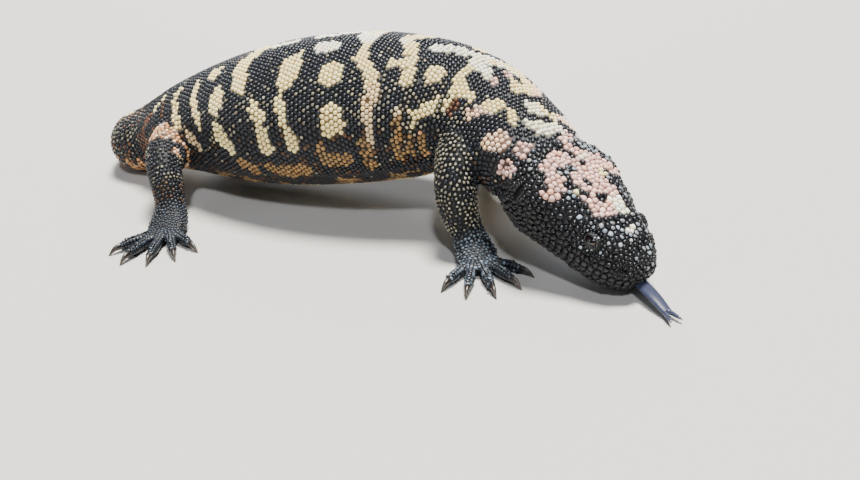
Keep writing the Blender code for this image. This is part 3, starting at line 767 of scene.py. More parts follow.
def first_places():
    """Where the rings of beads lie on every region: point, region, distance, angle, pitch, forward."""
    gathered = []
    rng = np.random.default_rng(SEED + 6)
    for region, tube, grow in regions():
        if region == 0:
            places = ring_places(tube, FIRST_RING, tube.end, pitch_table(BODY_PITCH))
        elif region < FIRST_TOE:
            places = ring_places(tube, 0.0, tube.end, pitch_table(LEG_PITCH, tube.end))
        else:
            places = ring_places(tube, TOE_ROOT, tube.end, lambda s: TOE_PITCH, TOE_AROUND)
            step = 360 / TOE_AROUND
            places[:, 1] = (90 + np.round((places[:, 1] - 90) / step + HALF_UP) * step) % 360
        s, angle, pitch = places.T
        if region < FIRST_TOE:
            head = (s > SKULL + UNEVEN_FROM) & (region == 0)
            loose = np.where(head, HEAD_STRAY, LEG_STRAY if region else TRUNK_STRAY)
            stray = rng.normal(0, 1, (2, len(s))) * loose * pitch
            s = np.clip(s + stray[0], FIRST_STRAY, tube.end - LAST_STRAY)
            angle = (angle + np.degrees(stray[1] / tube.frame(s)[0][:, 3])) % 360
            pitch = pitch * np.where(head, np.exp(rng.normal(0, HEAD_UNEVEN, len(s))), 1.0)
        points = tube.surface(s, angle, grow)[0]
        points[:, 2] = np.maximum(points[:, 2], SKIN_FLOOR)
        forward = tube.frame(s)[1]
        gathered.append(np.column_stack([points, np.full(len(s), region), s, angle, pitch, forward]))
    return np.concatenate(gathered)


POINT = slice(0, 3)
REGION, ALONG, ANGLE, PITCH = 3, 4, 5, 6
FORWARD = slice(7, 10)


def search_tree(points):
    tree = KDTree(len(points))
    for i, p in enumerate(points):
        tree.insert(p, i)
    tree.balance()
    return tree


def onto_skin(points, skin_tree):
    """The nearest points of the skin, its normals there, and how far off they were."""
    hits = [skin_tree.find_nearest(p) for p in points]
    return tuple(np.array([hit[k] for hit in hits]) for k in (0, 1, 3))


# Half sizes of the places round the openings that have scales of their own
BARE_SIZES = {"eye": (5.9, 5.2), "ear": (2.2, 4.9), "nostril": (2.0, 1.8)}
FEATURE_REACH = 9.0
# Ring beads keep off the lips' plates, less an overlap, from behind the mouth's corner to past the snout
LIP_OVERLAP = 0.3
LIP_BARE = LIP_SCALE[1] * 2 - LIP_OVERLAP
LIP_BEHIND = 1.0
LIP_PAST = 5


def bare(points):
    """True where no ring bead may lie: the lips, eyes, ears and nostrils, which have scales of their own."""
    along, _, rise = head_places(points)
    off = abs(rise - mouth_height(along))
    found = (off < LIP_BARE) & (along > MOUTH_CORNER - LIP_BEHIND) & (along < HEAD_LENGTH + LIP_PAST)
    for name, (centre, _, forward, around) in FEATURES.items():
        rel = points - centre
        x, y = rel @ forward, rel @ around
        size = BARE_SIZES[name.split("_")[0]]
        found |= ((x / size[0]) ** 2 + (y / size[1]) ** 2 < 1) & (np.linalg.norm(rel, axis=1) < FEATURE_REACH)
    return found


def thin_out(beads):
    """Drops each bead that crowds an earlier one."""
    tree = search_tree(beads[:, POINT])
    kept = np.ones(len(beads), bool)
    for i, bead in enumerate(beads):
        for _, j, away in tree.find_range(bead[POINT], bead[PITCH] * CROWDED):
            if j < i and kept[j] and away < CROWDED * (bead[PITCH] + beads[j, PITCH]) / 2:
                kept[i] = False
                break
    return beads[kept]


def skin_samples(mesh, count):
    """Seeded random points spread evenly over the skin."""
    mesh.calc_loop_triangles()
    corners = np.array([t.vertices for t in mesh.loop_triangles])
    points = coordinates(mesh)
    a, b, c = (points[corners[:, k]] for k in range(3))
    area = np.linalg.norm(np.cross(b - a, c - a), axis=1)
    rng = np.random.default_rng(SEED)
    pick = rng.choice(len(area), count, p=area / area.sum())
    u, v = rng.random((2, count, 1))
    flip = (u + v) > 1
    u, v = np.where(flip, 1 - u, u), np.where(flip, 1 - v, v)
    return a[pick] + u * (b - a)[pick] + v * (c - a)[pick]


def fill_gaps(beads, spots):
    """Adds a bead at each spot that is far from every other, like its nearest neighbour."""
    tree = search_tree(beads[:, POINT])
    added = []
    cells = {}
    for spot in spots:
        _, i, away = tree.find(spot)
        pitch = beads[i, PITCH]
        if away < pitch * SPARSE:
            continue
        cell = np.floor(spot / SPARSE_CELL).astype(int)
        beside = (tuple(cell + step) for step in np.ndindex(3, 3, 3))
        if any(np.linalg.norm(spot - q) < pitch * SPARSE for key in beside for q in cells.get(key, ())):
            continue
        cells.setdefault(tuple(cell + 1), []).append(spot)
        bead = beads[i].copy()
        bead[POINT] = spot
        added.append(bead)
    return np.concatenate([beads, np.array(added).reshape(-1, beads.shape[1])])


def relax(beads, fixed, skin_tree):
    """Lets crowded beads push each other along the skin until they sit evenly."""
    for _ in range(RELAX_ROUNDS):
        points = beads[:, POINT].copy()
        tree = search_tree(points)
        push = np.zeros_like(points)
        for i in np.flatnonzero(~fixed):
            for _, j, away in tree.find_n(points[i], RELAX_NEIGHBOURS):
                wanted = (beads[i, PITCH] + beads[j, PITCH]) / 2
                if j != i and 0 < away < wanted:
                    push[i] += (points[i] - points[j]) * ((wanted - away) / away * RELAX_PUSH)
        moved = onto_skin(points + push, skin_tree)[0]
        beads[~fixed, POINT] = moved[~fixed]
    return beads


# The lips' line is looked for at this many places along the head and at these angles round its left side
LIP_STEPS = 90
LIP_ANGLES = np.linspace(-70, 60, 261)
LIP_TIP = 0.4


def lip_line(above):
    """Points just above or below the mouth's line, from the right corner round the snout to the left."""
    run = HEAD_LENGTH - LIP_TIP - MOUTH_CORNER
    side = []
    for a in MOUTH_CORNER + run * np.sin(np.linspace(0, 90, LIP_STEPS) * math.pi / 180):
        points = BODY.surface(np.full(len(LIP_ANGLES), SKULL + a), LIP_ANGLES, -BODY_DEPTH)[0]
        off = head_places(points)[2] - mouth_height(a) - above
        side.append((a, LIP_ANGLES[int(np.argmin(abs(off)))]))
    right = [(a, 180 - g) for a, g in side]
    return np.array(right + side[::-1])


def lip_scales():
    """One row of scales above the mouth and one below it."""
    rows = []
    for above in (LIP_SCALE[1], -LIP_SCALE[1]):
        line = lip_line(above)
        points = BODY.surface(SKULL + line[:, 0], line[:, 1] % 360, -BODY_DEPTH)[0]
        run = np.concatenate([[0], np.cumsum(np.linalg.norm(np.diff(points, axis=0), axis=1))])
        count = round(run[-1] / LIP_SCALE[0])
        at = (np.arange(count) + 0.5) * run[-1] / count
        places = np.stack([np.interp(at, run, column) for column in points.T], -1)
        along = np.interp(at, run, line[:, 0])
        angle = np.interp(at, run, line[:, 1]) % 360
        ahead = unit(np.stack([np.interp(at, run, column) for column in np.gradient(points, axis=0).T], -1))
        pitch = np.full(count, LIP_SCALE[0])
        rows.append(np.column_stack([places, np.zeros(count), SKULL + along, angle, pitch, ahead]))
    return np.concatenate(rows)


# Rings of small scales round each kind of opening, and of granules on the lids: half sizes, how many, pitch
SCALE_RINGS = {
    "eye": (((4.5, 3.7), 19, 1.3), ((5.7, 4.9), 19, 1.6)),
    "ear": (((2.2, 4.9), 15, 1.5),),
    "nostril": (((1.9, 1.7), 8, 1.3),),
}
LID_ROWS = (((3.1, 2.1), 18, 0.95), ((3.75, 2.9), 18, 1.1))
GRANULE_SINK = 0.12
LEAST_HEIGHT = 0.2


def rings_round(rows):
    """Places in rings, each half a scale on from the last: x, y, the way round in x and y, and the pitch."""
    for row, (size, count, pitch) in enumerate(rows):
        for k in range(count):
            turn = 2 * math.pi * (k + row / 2) / count
            yield size[0] * math.cos(turn), size[1] * math.sin(turn), -math.sin(turn), math.cos(turn), pitch


def opening_scales():
    """The rings of small scales round the eyes, ears and nostrils."""
    rows = []
    for name, (centre, out, forward, around) in FEATURES.items():
        along, angle, sunk = opening_place(name)
        for x, y, ahead, aside, pitch in rings_round(SCALE_RINGS[name.split("_")[0]]):
            spot = centre + out * sunk + forward * x + around * y
            rows.append([*spot, 0, SKULL + along, angle, pitch, *(forward * ahead + around * aside)])
    return np.array(rows)


def lid_granules():
    """Two rows of small scales on each pair of lids, with the ways that they stand."""
    rows, ways = [], []
    reach = EYE_RADIUS + LID_EDGE + LID_THICK - GRANULE_SINK
    for name in ("eye_left", "eye_right"):
        centre, out, forward, around = FEATURES[name]
        along, angle, _ = opening_place(name)
        for x, y, ahead, aside, pitch in rings_round(LID_ROWS):
            height = math.sqrt(max(reach**2 - x * x - y * y, LEAST_HEIGHT))
            way = unit(out * height + forward * x + around * y)
            spot = centre + way * reach
            rows.append([*spot, 0, SKULL + along, angle, pitch, *(forward * ahead + around * aside)])
            ways.append(way)
    return np.array(rows), np.array(ways)


def place_beads(skin):
    """Every bead of the coat: its place on the skin, its region and its normal."""
    points = coordinates(skin.data)
    faces = [tuple(p.vertices) for p in skin.data.polygons]
    skin_tree = BVHTree.FromPolygons(points.tolist(), faces)
    special = np.concatenate([lip_scales(), opening_scales()])
    special[:, POINT] = onto_skin(special[:, POINT], skin_tree)[0]
    rings = first_places()
    toes = rings[rings[:, REGION] >= FIRST_TOE]
    rest = rings[rings[:, REGION] < FIRST_TOE]
    rest = rest[~bare(rest[:, POINT])]
    ordered = np.concatenate([special, toes, rest])
    found, _, away = onto_skin(ordered[:, POINT], skin_tree)
    ordered[:, POINT] = found
    beads = thin_out(ordered[away < OFF_SKIN])
    spots = skin_samples(skin.data, SKIN_SAMPLES)
    beads = fill_gaps(beads, spots[~bare(spots)])
    fixed = np.zeros(len(beads), bool)
    fixed[: len(special)] = True
    beads = relax(beads, fixed, skin_tree)
    _, normals, _ = onto_skin(beads[:, POINT], skin_tree)
    tree = search_tree(beads[:, POINT])
    near = np.array([[j for _, j, _ in tree.find_n(p, UPRIGHT_NEIGHBOURS)] for p in beads[:, POINT]])
    granules, ways = lid_granules()
    return np.concatenate([beads, granules]), np.concatenate([unit(normals[near].mean(1)), ways])


# A bead's foot and crown colours, how far up it the crown's colour starts, and how much its value varies
TONES = {
    "black": ("#06070a", "#1a1d24", 0.1, 0.25),
    # dark: the head's black, darker than the body's; the extra darkness is painted shade
    "dark": ("#040507", "#0f1116", 0.1, 0.3),
    # blue: a grey-blue crown on a dark bead, a painted sheen
    "blue": ("#0c0f13", "#525e69", 0.3, 0.3),
    "slate": ("#090b0e", "#272e37", 0.25, 0.3),
    "cream": ("#98844e", "#ffe9ab", 0.0, 0.06),
    "white": ("#a9a07d", "#fdf8e2", 0.0, 0.04),
    "tan": ("#6a5232", "#e3c99c", 0.0, 0.12),
    "peach": ("#745443", "#efcdae", 0.0, 0.12),
    "orange": ("#4a2f1c", "#c08f60", 0.0, 0.16),
    # ochre: orange made darker and browner for the underside and low flank, a painted shade
    "ochre": ("#261c13", "#927247", 0.12, 0.22),
    "pink": ("#5a3f3a", "#e6bdae", 0.0, 0.14),
    # dotted: a pale spot on a dark bead's top, in part a real pale tip and in part a painted highlight
    "dotted": ("#07080a", "#857f6c", 0.62, 0.32),
    # grey: a pale grey crown on a dark bead, a painted highlight
    "grey": ("#0c0e12", "#7d868e", 0.5, 0.35),
    "brown": ("#0c0907", "#46301f", 0.2, 0.3),
    "rust": ("#140b07", "#5e3b28", 0.15, 0.25),
}
TONE_NAMES = list(TONES)
CROWN_BAND = 0.3
WARMTH = (0.05, np.array([[1.0, 0.0, -1.2]]))

# Markings of the head's top, the back and the right side, in the order they are laid: each is a tone and a
# line of places along and round the body with the half width of the mark there. Their places along the body
# count the skull's back as MARKS_SKULL.
MARKS_SKULL = 349.5
MARKS = (
    ("rust", ((133, 166, 2.0), (134, 190, 2.6))),
    ("rust", ((144, 166, 2.0), (146, 190, 2.6))),
    ("cream", ((148, 118, 1.2), (147, 128, 1.5), (141, 143, 1.4))),
    ("rust", ((141, 143, 1.4), (131, 165, 1.5), (127, 182, 1.5))),
    ("rust", ((150, 134, 1.0), (149, 152, 1.0))),
    ("cream", ((158, 118, 1.8), (158, 138, 2.3), (159, 152, 2.3), (161, 166, 1.9))),
    ("cream", ((170, 121, 1.6), (171, 140, 2.2), (174, 154, 2.3), (176, 168, 1.8))),
    ("tan", ((165, 172, 2.2), (168, 180, 2.6), (171, 187, 2.0))),
    ("cream", ((180, 113, 3.4), (180, 120, 3.6))),
    ("cream", ((187, 141, 3.5), (187, 154, 3.7))),
    ("cream", ((187, 172, 3.6), (190, 180, 3.8), (192, 185, 3.2))),
    ("white", ((198, 87, 3.5), (208, 91, 3.5), (217, 88, 2.5))),
    ("cream", ((201, 90, 4.0), (198, 108, 4.2), (197, 122, 4.2), (199, 136, 3.4), (201, 144, 2.8))),
    ("cream", ((209, 157, 3.4), (211, 164, 3.2), (212, 170, 1.7), (213, 178, 3.0), (213, 186, 3.4))),
    ("cream", ((226, 115, 2.4), (224, 126, 5.8), (224, 137, 6.0), (223, 146, 2.2), (222, 150, 1.3))),
    ("cream", ((222, 150, 1.3), (222, 157, 3.4))),
    ("cream", ((222, 157, 3.4), (223, 163, 3.2), (225, 171, 1.9), (226, 180, 3.4), (227, 184, 3.0))),
    ("white", ((229, 82, 4.4), (233, 82, 4.4))),
    ("white", ((237, 108, 5.6), (239, 108, 5.6))),
    ("cream", ((245, 135, 5.2), (245, 139, 5.2))),
    ("cream", ((247, 167, 5.6), (247, 171, 5.6))),
    ("white", ((253, 80, 5.6), (254, 92, 5.0), (256, 108, 2.6))),
    ("cream", ((256, 108, 2.6), (256, 122, 3.6), (259, 128, 2.6), (264, 137, 3.0), (267, 150, 3.4))),
    ("tan", ((267, 150, 3.4), (266, 160, 3.0), (266, 170, 2.4), (266, 182, 1.8))),
    # Ochre marks low on the side are orange in painted shade
    ("ochre", ((262, 186, 3.0), (262, 202, 3.5))),
    ("tan", ((279, 160, 1.6), (280, 170, 2.0))),
    ("ochre", ((280, 170, 2.0), (279, 184, 2.2), (278, 198, 2.6))),
    ("white", ((271, 94, 3.0), (275, 100, 3.6))),
    ("cream", ((275, 100, 3.6), (277, 110, 3.2), (279, 122, 3.0), (281, 134, 2.6), (281, 143, 2.0))),
    ("cream", ((272, 127, 3.2), (276, 124, 2.2))),
    ("dotted", ((284, 148, 2.4), (286, 160, 2.4))),
    ("cream", ((290, 174, 2.0), (290, 165, 2.9), (294, 160, 2.0), (298, 155, 3.0), (299, 150, 2.2))),
    ("cream", ((292, 125, 3.7), (292, 131, 3.7))),
    ("white", ((285, 97, 3.6), (290, 88, 4.8), (295, 83, 4.0))),
    ("white", ((302, 98, 3.4), (306, 96, 4.3), (310, 99, 3.0))),
    # This white mark on the far side is in part pale scales and in part a painted rim highlight
    ("white", ((301, 88, 3.0), (302, 76, 4.3), (306, 66, 4.0), (313, 60, 3.0))),
    ("cream", ((302, 107, 2.0), (303, 118, 2.4), (306, 131, 3.8), (306, 142, 2.6), (306, 152, 2.4))),
    ("cream", ((309, 129, 2.8), (314, 129, 3.2))),
    ("rust", ((310, 138, 1.3), (310, 156, 1.5))),
    ("peach", ((319, 142, 2.6), (322, 135, 3.6), (325, 124, 3.6))),
    ("cream", ((324, 122, 3.6), (326, 116, 3.8))),
    ("pink", ((314, 98, 2.6),)),
    ("cream", ((321, 83, 3.2), (318, 78, 2.5))),
    ("cream", ((332, 106, 1.3), (336, 111, 1.7), (340, 118, 1.6))),
    ("white", ((330, 81, 2.4), (333, 76, 3.6), (335, 70, 3.4))),
    ("white", ((341, 92, 3.0), (343, 86, 3.6), (345, 80, 3.0))),
    ("white", ((343, 66, 2.6), (344, 62, 2.6))),
    ("peach", ((339, 149, 3.4), (341, 142, 4.2), (340, 136, 2.6))),
    ("pink", ((349, 128, 2.6), (349, 136, 2.8))),
    ("pink", ((348, 166, 2.8), (350, 159, 3.2))),
    # The ochre marks low on the side are orange in painted shade
    ("ochre", ((196, 200, 3.6), (201, 206, 3.0))),
    ("ochre", ((210, 203, 3.4), (218, 206, 4.4), (228, 203, 4.2))),
    ("ochre", ((240, 184, 2.2), (241, 194, 3.6), (250, 196, 3.6))),
    ("ochre", ((288, 181, 1.8), (287, 196, 2.6))),
    ("ochre", ((296, 182, 1.8), (297, 196, 2.6))),
    ("pink", ((357, 96, 4.0), (358, 110, 4.6), (359, 124, 3.6))),
    ("pink", ((352, 70, 2.6), (357, 67, 3.8), (362, 70, 2.2))),
    ("pink", ((361, 90, 2.6), (366, 90, 3.4), (371, 87, 3.4), (376, 86, 2.6))),
    ("pink", ((361, 124, 3.0), (366, 129, 3.4), (370, 141, 3.0), (371, 149, 1.8))),
    ("pink", ((367, 118, 2.6), (369, 106, 2.2), (372, 103, 3.0), (377, 104, 3.4), (381, 106, 3.0))),
    ("pink", ((378, 118, 2.2),)),
    ("pink", ((385, 112, 3.4), (387, 102, 3.4), (386, 92, 3.4), (385, 83, 3.0))),
    ("cream", ((374, 121, 2.0), (375, 114, 1.6))),
    ("cream", ((386, 87, 1.8),)),
    # The white stripe along the head's top is in part a pale mark and in part a painted highlight
    ("white", ((361, 68, 2.4), (367, 69, 3.4), (374, 70, 4.0), (381, 72, 4.0), (388, 74, 3.0))),
    # The snout's white specks are painted highlights
    ("white", ((396, 78, 1.4), (397, 86, 1.8))),
    ("white", ((394, 97, 1.4),)),
    ("black", ((349, 76, 1.6), (350, 100, 1.8), (351, 118, 1.6))),
    ("black", ((364, 99, 2.0), (364, 112, 2.2))),
    ("black", ((364, 76, 1.6),)),
    ("black", ((372, 94, 1.3),)),
    ("black", ((379, 84, 1.4), (380, 75, 1.9))),
    ("black", ((382, 97, 2.1),)),
    ("black", ((375, 129, 2.2),)),
    # The far temple's grey crowns are a painted sheen
    ("grey", ((353, 51, 4.0), (358, 49, 4.4))),
)
# The left side's marks: how far they stray along and round the body, their least size, and how it varies.
# Marks that reach below this angle cross the back's middle, and aren't laid again, nor are the head's black.
FAR_JITTER = (4.0, 7.0)
FAR_SIZE = (0.85, 0.35)
BOTH_SIDES = 98
# How unevenly a mark's edge runs
EDGE_UNEVEN = 0.4
# Sizes of the patches of noise in millimetres, and where in the noise the finer ones are taken
BROAD_PATCH = 11.0
FINE_PATCH = 5.0
LEG_PATCH = 6.0
BODY_PATCHES_AT = 7.0
LEG_PATCHES_AT = 3.0

# Tones of the tail: how far along the body they reach, how long and how narrow the bands are, where noise
# breaks them, how far round the underside reaches and what share of scales is dotted or rust
TAIL_TONES = 126
TAIL_BANDS = 96
TAIL_RUST = 84
BAND_LENGTH = 22
BAND_EDGE = 0.55
TAIL_BREAKS = -0.4
TAIL_UNDER = 72
TAIL_DOTTED = 0.4
RUST_CHANCE = 0.8
# The belly's blotches: where they start along the body, how far round they reach, and above what noise
BELLY_FROM = 115
# The belly's ochre blotches are orange darkened as painted shade
BELLY_OCHRE = (52, 0.1)
BELLY_CREAM = (34, 0.3)
# Single scales of other tones among the black ones: tone, from and to along the body, middle and half width
# round it, the least and the greatest chance that get the tone, and how much the latter varies in patches
SCATTER = (
    # The dotted scales among the black ones are in part painted highlights
    ("dotted", 266, 318, 166, 34, 0.0, 0.32, 0.0),
    ("orange", 284, 318, 166, 34, 0.94, 1.0, 0.0),
    ("dotted", 160, 266, 164, 24, 0.0, 0.2, 0.12),
    ("dotted", 160, 266, 20, 20, 0.0, 0.2, 0.12),
    ("dotted", 120, SKULL, 0, 181, 0.96, 1.0, 0.0),
    ("brown", 120, SKULL, BELOW, 95, 0.0, 0.14, 0.0),
    # Every remaining black bead of the head takes the darker tone, a painted shade
    ("dark", SKULL + 2, BODY.end + 1, 0, 181, 0.0, 1.0, 0.0),
    # Grey crowns on the snout and the head's top are painted highlights
    ("grey", SKULL + 42, BODY.end + 1, 88, 42, 0.0, 0.36, 0.0),
    ("grey", SKULL, SKULL + 50, 90, 60, 0.8, 1.0, 0.0),
)


def line_distance(s, angle, radius, line):
    """How far places are outside a marking, in the unrolled skin."""
    best = np.full(len(s), np.inf)
    for (s1, a1, w1), (s2, a2, w2) in zip(line, line[1:] or line):
        x1, dx = s1 - s, s2 - s1
        y1 = np.radians(signed(a1 - angle)) * radius
        dy = math.radians(a2 - a1) * radius
        t = np.clip(-(x1 * dx + y1 * dy) / np.maximum(dx * dx + dy * dy, 1e-9), 0, 1)
        best = np.minimum(best, np.hypot(x1 + t * dx, y1 + t * dy) - (w1 + t * (w2 - w1)))
    return best


def all_marks():
    """The markings above, and for the left side like ones at other places."""
    rng = np.random.default_rng(SEED + 1)
    on = SKULL - MARKS_SKULL
    marks = [(tone, tuple((s + on, a, w) for s, a, w in line)) for tone, line in MARKS]
    for tone, line in tuple(marks):
        ds, da = (rng.random(2) * 2 - 1) * FAR_JITTER
        scale = FAR_SIZE[0] + FAR_SIZE[1] * rng.random()
        if min(a for _, a, _ in line) < BOTH_SIDES or (line[0][0] > SKULL and tone == "black"):
            continue
        marks.append((tone, tuple((s + ds, 180 - a + da, w * scale) for s, a, w in line)))
    return marks


def patches(points, scale, seed=0.0):
    """Smooth noise over space, from about -1 to 1, with the given size of patch."""
    return np.array([noise.noise(Vector(p) / scale + Vector((seed, seed, seed))) for p in points]) * 2


def body_tones(beads):
    """The tone of each bead of the body."""
    rng = np.random.default_rng(SEED + 2)
    s, angle = beads[:, ALONG], beads[:, ANGLE]
    row = BODY.frame(s)[0]
    radius = (row[:, 3] + row[:, 4]) / 2
    tone = np.full(len(beads), TONE_NAMES.index("black"))
    chance = rng.random(len(beads))
    broad, fine = patches(beads[:, POINT], BROAD_PATCH), patches(beads[:, POINT], FINE_PATCH, BODY_PATCHES_AT)
    under = abs(signed(angle - BELOW))

    def lay(where, name):
        tone[where] = TONE_NAMES.index(name)

    tail = s < TAIL_TONES
    bands = np.sin(s / BAND_LENGTH * 2 * math.pi + broad) > BAND_EDGE
    lay(tail & (chance < TAIL_DOTTED), "dotted")
    lay(tail & bands & (fine > TAIL_BREAKS) & (s < TAIL_BANDS), "cream")
    lay(tail & (under < TAIL_UNDER) & (broad + fine > TAIL_BREAKS), "orange")
    lay(tail & (s > TAIL_RUST) & (tone == 0) & (chance > RUST_CHANCE), "rust")
    belly = (s > BELLY_FROM) & (s < SKULL)
    lay(belly & (under < BELLY_OCHRE[0]) & (broad + fine * 0.5 > BELLY_OCHRE[1]), "ochre")
    lay(belly & (under < BELLY_CREAM[0]) & (broad - fine * 0.5 > BELLY_CREAM[1]), "cream")
    for name, line in all_marks():
        edge = EDGE_UNEVEN * (fine + rng.random(len(beads)) - 0.5)
        lay(line_distance(s, angle, radius, line) < edge, name)
    dark = tone == TONE_NAMES.index("black")
    for name, start, end, middle, half, least, most, vary in SCATTER:
        here = (s > start) & (s < end) & (abs(signed(angle - middle)) < half)
        lay(dark & here & (chance >= least) & (chance < most + vary * broad), name)
    return tone


# Tones of the legs: the tone, whether on a front leg, from and to along it, the least and the greatest chance
# that get it, and how much the place where it ends and the greatest chance vary in patches
LEG_TONES = (
    ("dotted", True, 0.0, 0.76, 0.0, 0.82, 0.0, 0.3),
    ("dotted", False, 0.0, 0.66, 0.0, 0.22, 0.0, 0.3),
    ("orange", False, -1.0, 0.42, 0.0, 1.0, 0.05, 0.0),
    ("peach", False, -1.0, 0.42, 0.7, 1.0, 0.05, 0.0),
    ("brown", False, 0.62, 0.8, 0.0, 0.45, 0.0, 0.0),
    ("slate", True, 0.76, 2.0, 0.0, 1.0, 0.0, 0.0),
    ("slate", False, 0.76, 2.0, 0.0, 1.0, 0.0, 0.0),
    # The front feet's blue crowns are a painted sheen
    ("blue", True, 0.8, 1.001, 0.0, 0.75, 0.0, 0.0),
    ("blue", True, 1.001, 2.0, 0.0, 0.4, 0.0, 0.0),
)
# Toes count as this far along their leg
TOE_SHARE = 1.5


def leg_tones(beads):
    """The tone of each bead of the legs: black with pale crowns that are in part painted highlights, orange
    inside the thigh, and feet with blue-grey crowns of painted sheen.
    """
    rng = np.random.default_rng(SEED + 3)
    tone = np.full(len(beads), TONE_NAMES.index("black"))
    chance = rng.random(len(beads))
    fine = patches(beads[:, POINT], LEG_PATCH, LEG_PATCHES_AT)
    region = beads[:, REGION].astype(int)
    for i, (name, leg) in enumerate(LEGS.items()):
        toes = (region >= FIRST_TOE) & ((region - FIRST_TOE) // 5 == i)
        share = np.where(toes, TOE_SHARE, beads[:, ALONG] / LIMBS[name].end)
        for kind, front, start, end, least, most, end_vary, vary in LEG_TONES:
            if front == leg["front"]:
                here = ((region == 1 + i) | toes) & (share >= start) & (share < end + end_vary * fine)
                here &= (chance >= least) & (chance < most + vary * fine)
                tone[here] = TONE_NAMES.index(kind)
    return tone


def bead_colours(beads):
    """Foot and crown colour of every bead, each a little unlike the next, and where its crown starts."""
    rng = np.random.default_rng(SEED + 4)
    tone = np.where(beads[:, REGION] == 0, body_tones(beads), leg_tones(beads))
    table = np.array([[linear(c) for c in values[:2]] for values in TONES.values()])
    crown_from, spread = np.array([values[2:] for values in TONES.values()]).T
    foot, crown = table[tone, 0].copy(), table[tone, 1].copy()
    value = np.exp(rng.normal(0, 1, len(beads)) * spread[tone])[:, None]
    spread, tint = WARMTH
    warmth = rng.normal(0, spread, len(beads))[:, None] * tint
    foot[:, :3] *= value
    crown[:, :3] *= value * (1 + warmth)
    return np.clip(foot, 0, 1), np.clip(crown, 0, 1), crown_from[tone]


# Where each part lies on the bake map: left edge, width, lower edge and height, and the steps between legs
# and between toes
BODY_SHEET = (0.02, 0.56, 0.02, 0.96)
LEG_SHEET = (0.61, 0.085, 0.02, 0.42)
TOE_SHEET = (0.61, 0.085, 0.47, 0.09)
LEG_STEP = 0.1
TOE_STEP = 0.105


def bake_roots(beads):
    """Each bead's place on an unwrap of the skin: the body in one tall sheet, legs and toes beside it."""
    region = beads[:, REGION].astype(int)
    turn = beads[:, ANGLE] / 360
    u, v = np.empty(len(beads)), np.empty(len(beads))
    for k, tube, _ in regions():
        mine = region == k
        share = beads[mine, ALONG] / tube.end
        left, wide, low, tall = BODY_SHEET
        if 0 < k < FIRST_TOE:
            left, wide, low, tall = LEG_SHEET
            left += LEG_STEP * (k - 1)
        elif k:
            leg, toe = divmod(k - FIRST_TOE, 5)
            left, wide, low, tall = TOE_SHEET
            left += LEG_STEP * leg
            low += TOE_STEP * toe
        u[mine] = left + wide * turn[mine]
        v[mine] = low + tall * share
    return np.column_stack([u, v, np.zeros(len(beads))])


# The bead's profile: share of its reach, height share, and place on its bake patch; then its crown, its least
# reach and how often its sides are trimmed
BEAD_RINGS = ((0.95, -0.4, 1.0), (1.0, 0.05, 0.9), (0.88, 0.5, 0.7), (0.55, 0.86, 0.4))
BEAD_CROWN = (0.0, 0.0, 0.0, 1.0, 0.0)
BAKE_PATCH = 0.003
LEAST_REACH = 0.1
TRIM_ROUNDS = 3
BEAD_SIDES = 8
HEAD_BEAD_SIDES = 10
# What each bead knows of itself, by kind: the colours stay on the coat, the rest only shapes it
BEAD_FIELDS = {
    "FLOAT_VECTOR": ("centre", "upright", "forward", "root"),
    "FLOAT": ("size", "high", "fullness", "gap", "crown_from"),
    "FLOAT_COLOR": ("foot", "crown"),
    "INT": ("own",),
}
TEMPLATE_FIELDS = {"FLOAT_VECTOR": ("way",), "FLOAT": ("share", "crest", "patch", "under")}
LASTING_FIELDS = ("foot", "crown", "crown_from", "crest")
VECTOR_MATH = "ShaderNodeVectorMath"
MATH = "ShaderNodeMath"


def bead_template(sides):
    """One bead of unit size: its foot below the skin, its rings and its crown."""
    turns = 2 * math.pi * (np.arange(sides) + 0.5) / sides
    rows = [(math.cos(a), math.sin(a), *ring) for ring in BEAD_RINGS for a in turns]
    x, y, share, rise, patch = np.array([*rows, BEAD_CROWN]).T
    faces = ring_faces(len(BEAD_RINGS), sides)
    top = (len(BEAD_RINGS) - 1) * sides
    faces += [(top + k, top + (k + 1) % sides, top + sides) for k in range(sides)]
    faces.append(tuple(reversed(range(sides))))
    mesh = bpy.data.meshes.new(f"bead_{sides}")
    mesh.from_pydata(np.column_stack([x * share, y * share, rise]).tolist(), [], faces)
    store(mesh, "way", "FLOAT_VECTOR", np.column_stack([x, y, np.zeros(len(x))]))
    for name, values in (("share", share), ("crest", rise), ("patch", patch)):
        store(mesh, name, "FLOAT", values)
    store(mesh, "under", "FLOAT", [0.0] * (len(faces) - 1) + [1.0], "FACE")
    return new_object(mesh.name, mesh)


def trimmed_reach(node, field, middles, ray):
    """How far a bead's side reaches along its ray before its neighbour's half begins, less the gap."""
    place = node("GeometryNodeInputPosition")
    reach = field["size"]
    for _ in range(TRIM_ROUNDS):
        aside = node(VECTOR_MATH, {0: ray, "Scale": reach}, operation="SCALE")
        probe = node(VECTOR_MATH, (field["centre"], aside), operation="ADD")
        nearest = node("GeometryNodeSampleNearest", {"Geometry": middles, "Sample Position": probe})
        found = {"Geometry": middles, "Value": place, "Index": nearest}
        other = node("GeometryNodeSampleIndex", found, data_type="FLOAT_VECTOR")
        apart = node(VECTOR_MATH, (other, field["centre"]), operation="SUBTRACT")
        square = node(VECTOR_MATH, (apart, apart), operation="DOT_PRODUCT").outputs["Value"]
        along = node(VECTOR_MATH, (apart, ray), operation="DOT_PRODUCT").outputs["Value"]
        ahead = node(MATH, (along, 1e-7), operation="MAXIMUM")
        border = node(MATH, (square, node(MATH, (ahead, 2.0), operation="MULTIPLY")), operation="DIVIDE")
        nearer = node(MATH, (reach, border), operation="MINIMUM")
        pair = {2: nearest, 3: field["own"]}
        differs = node("FunctionNodeCompare", pair, data_type="INT", operation="NOT_EQUAL")
        choice = {"Switch": differs, "False": reach, "True": nearer}
        reach = node("GeometryNodeSwitch", choice, input_type="FLOAT")
    parted = node(MATH, (reach, field["gap"]), operation="SUBTRACT")
    return node(MATH, (parted, LEAST_REACH * MM), operation="MAXIMUM")


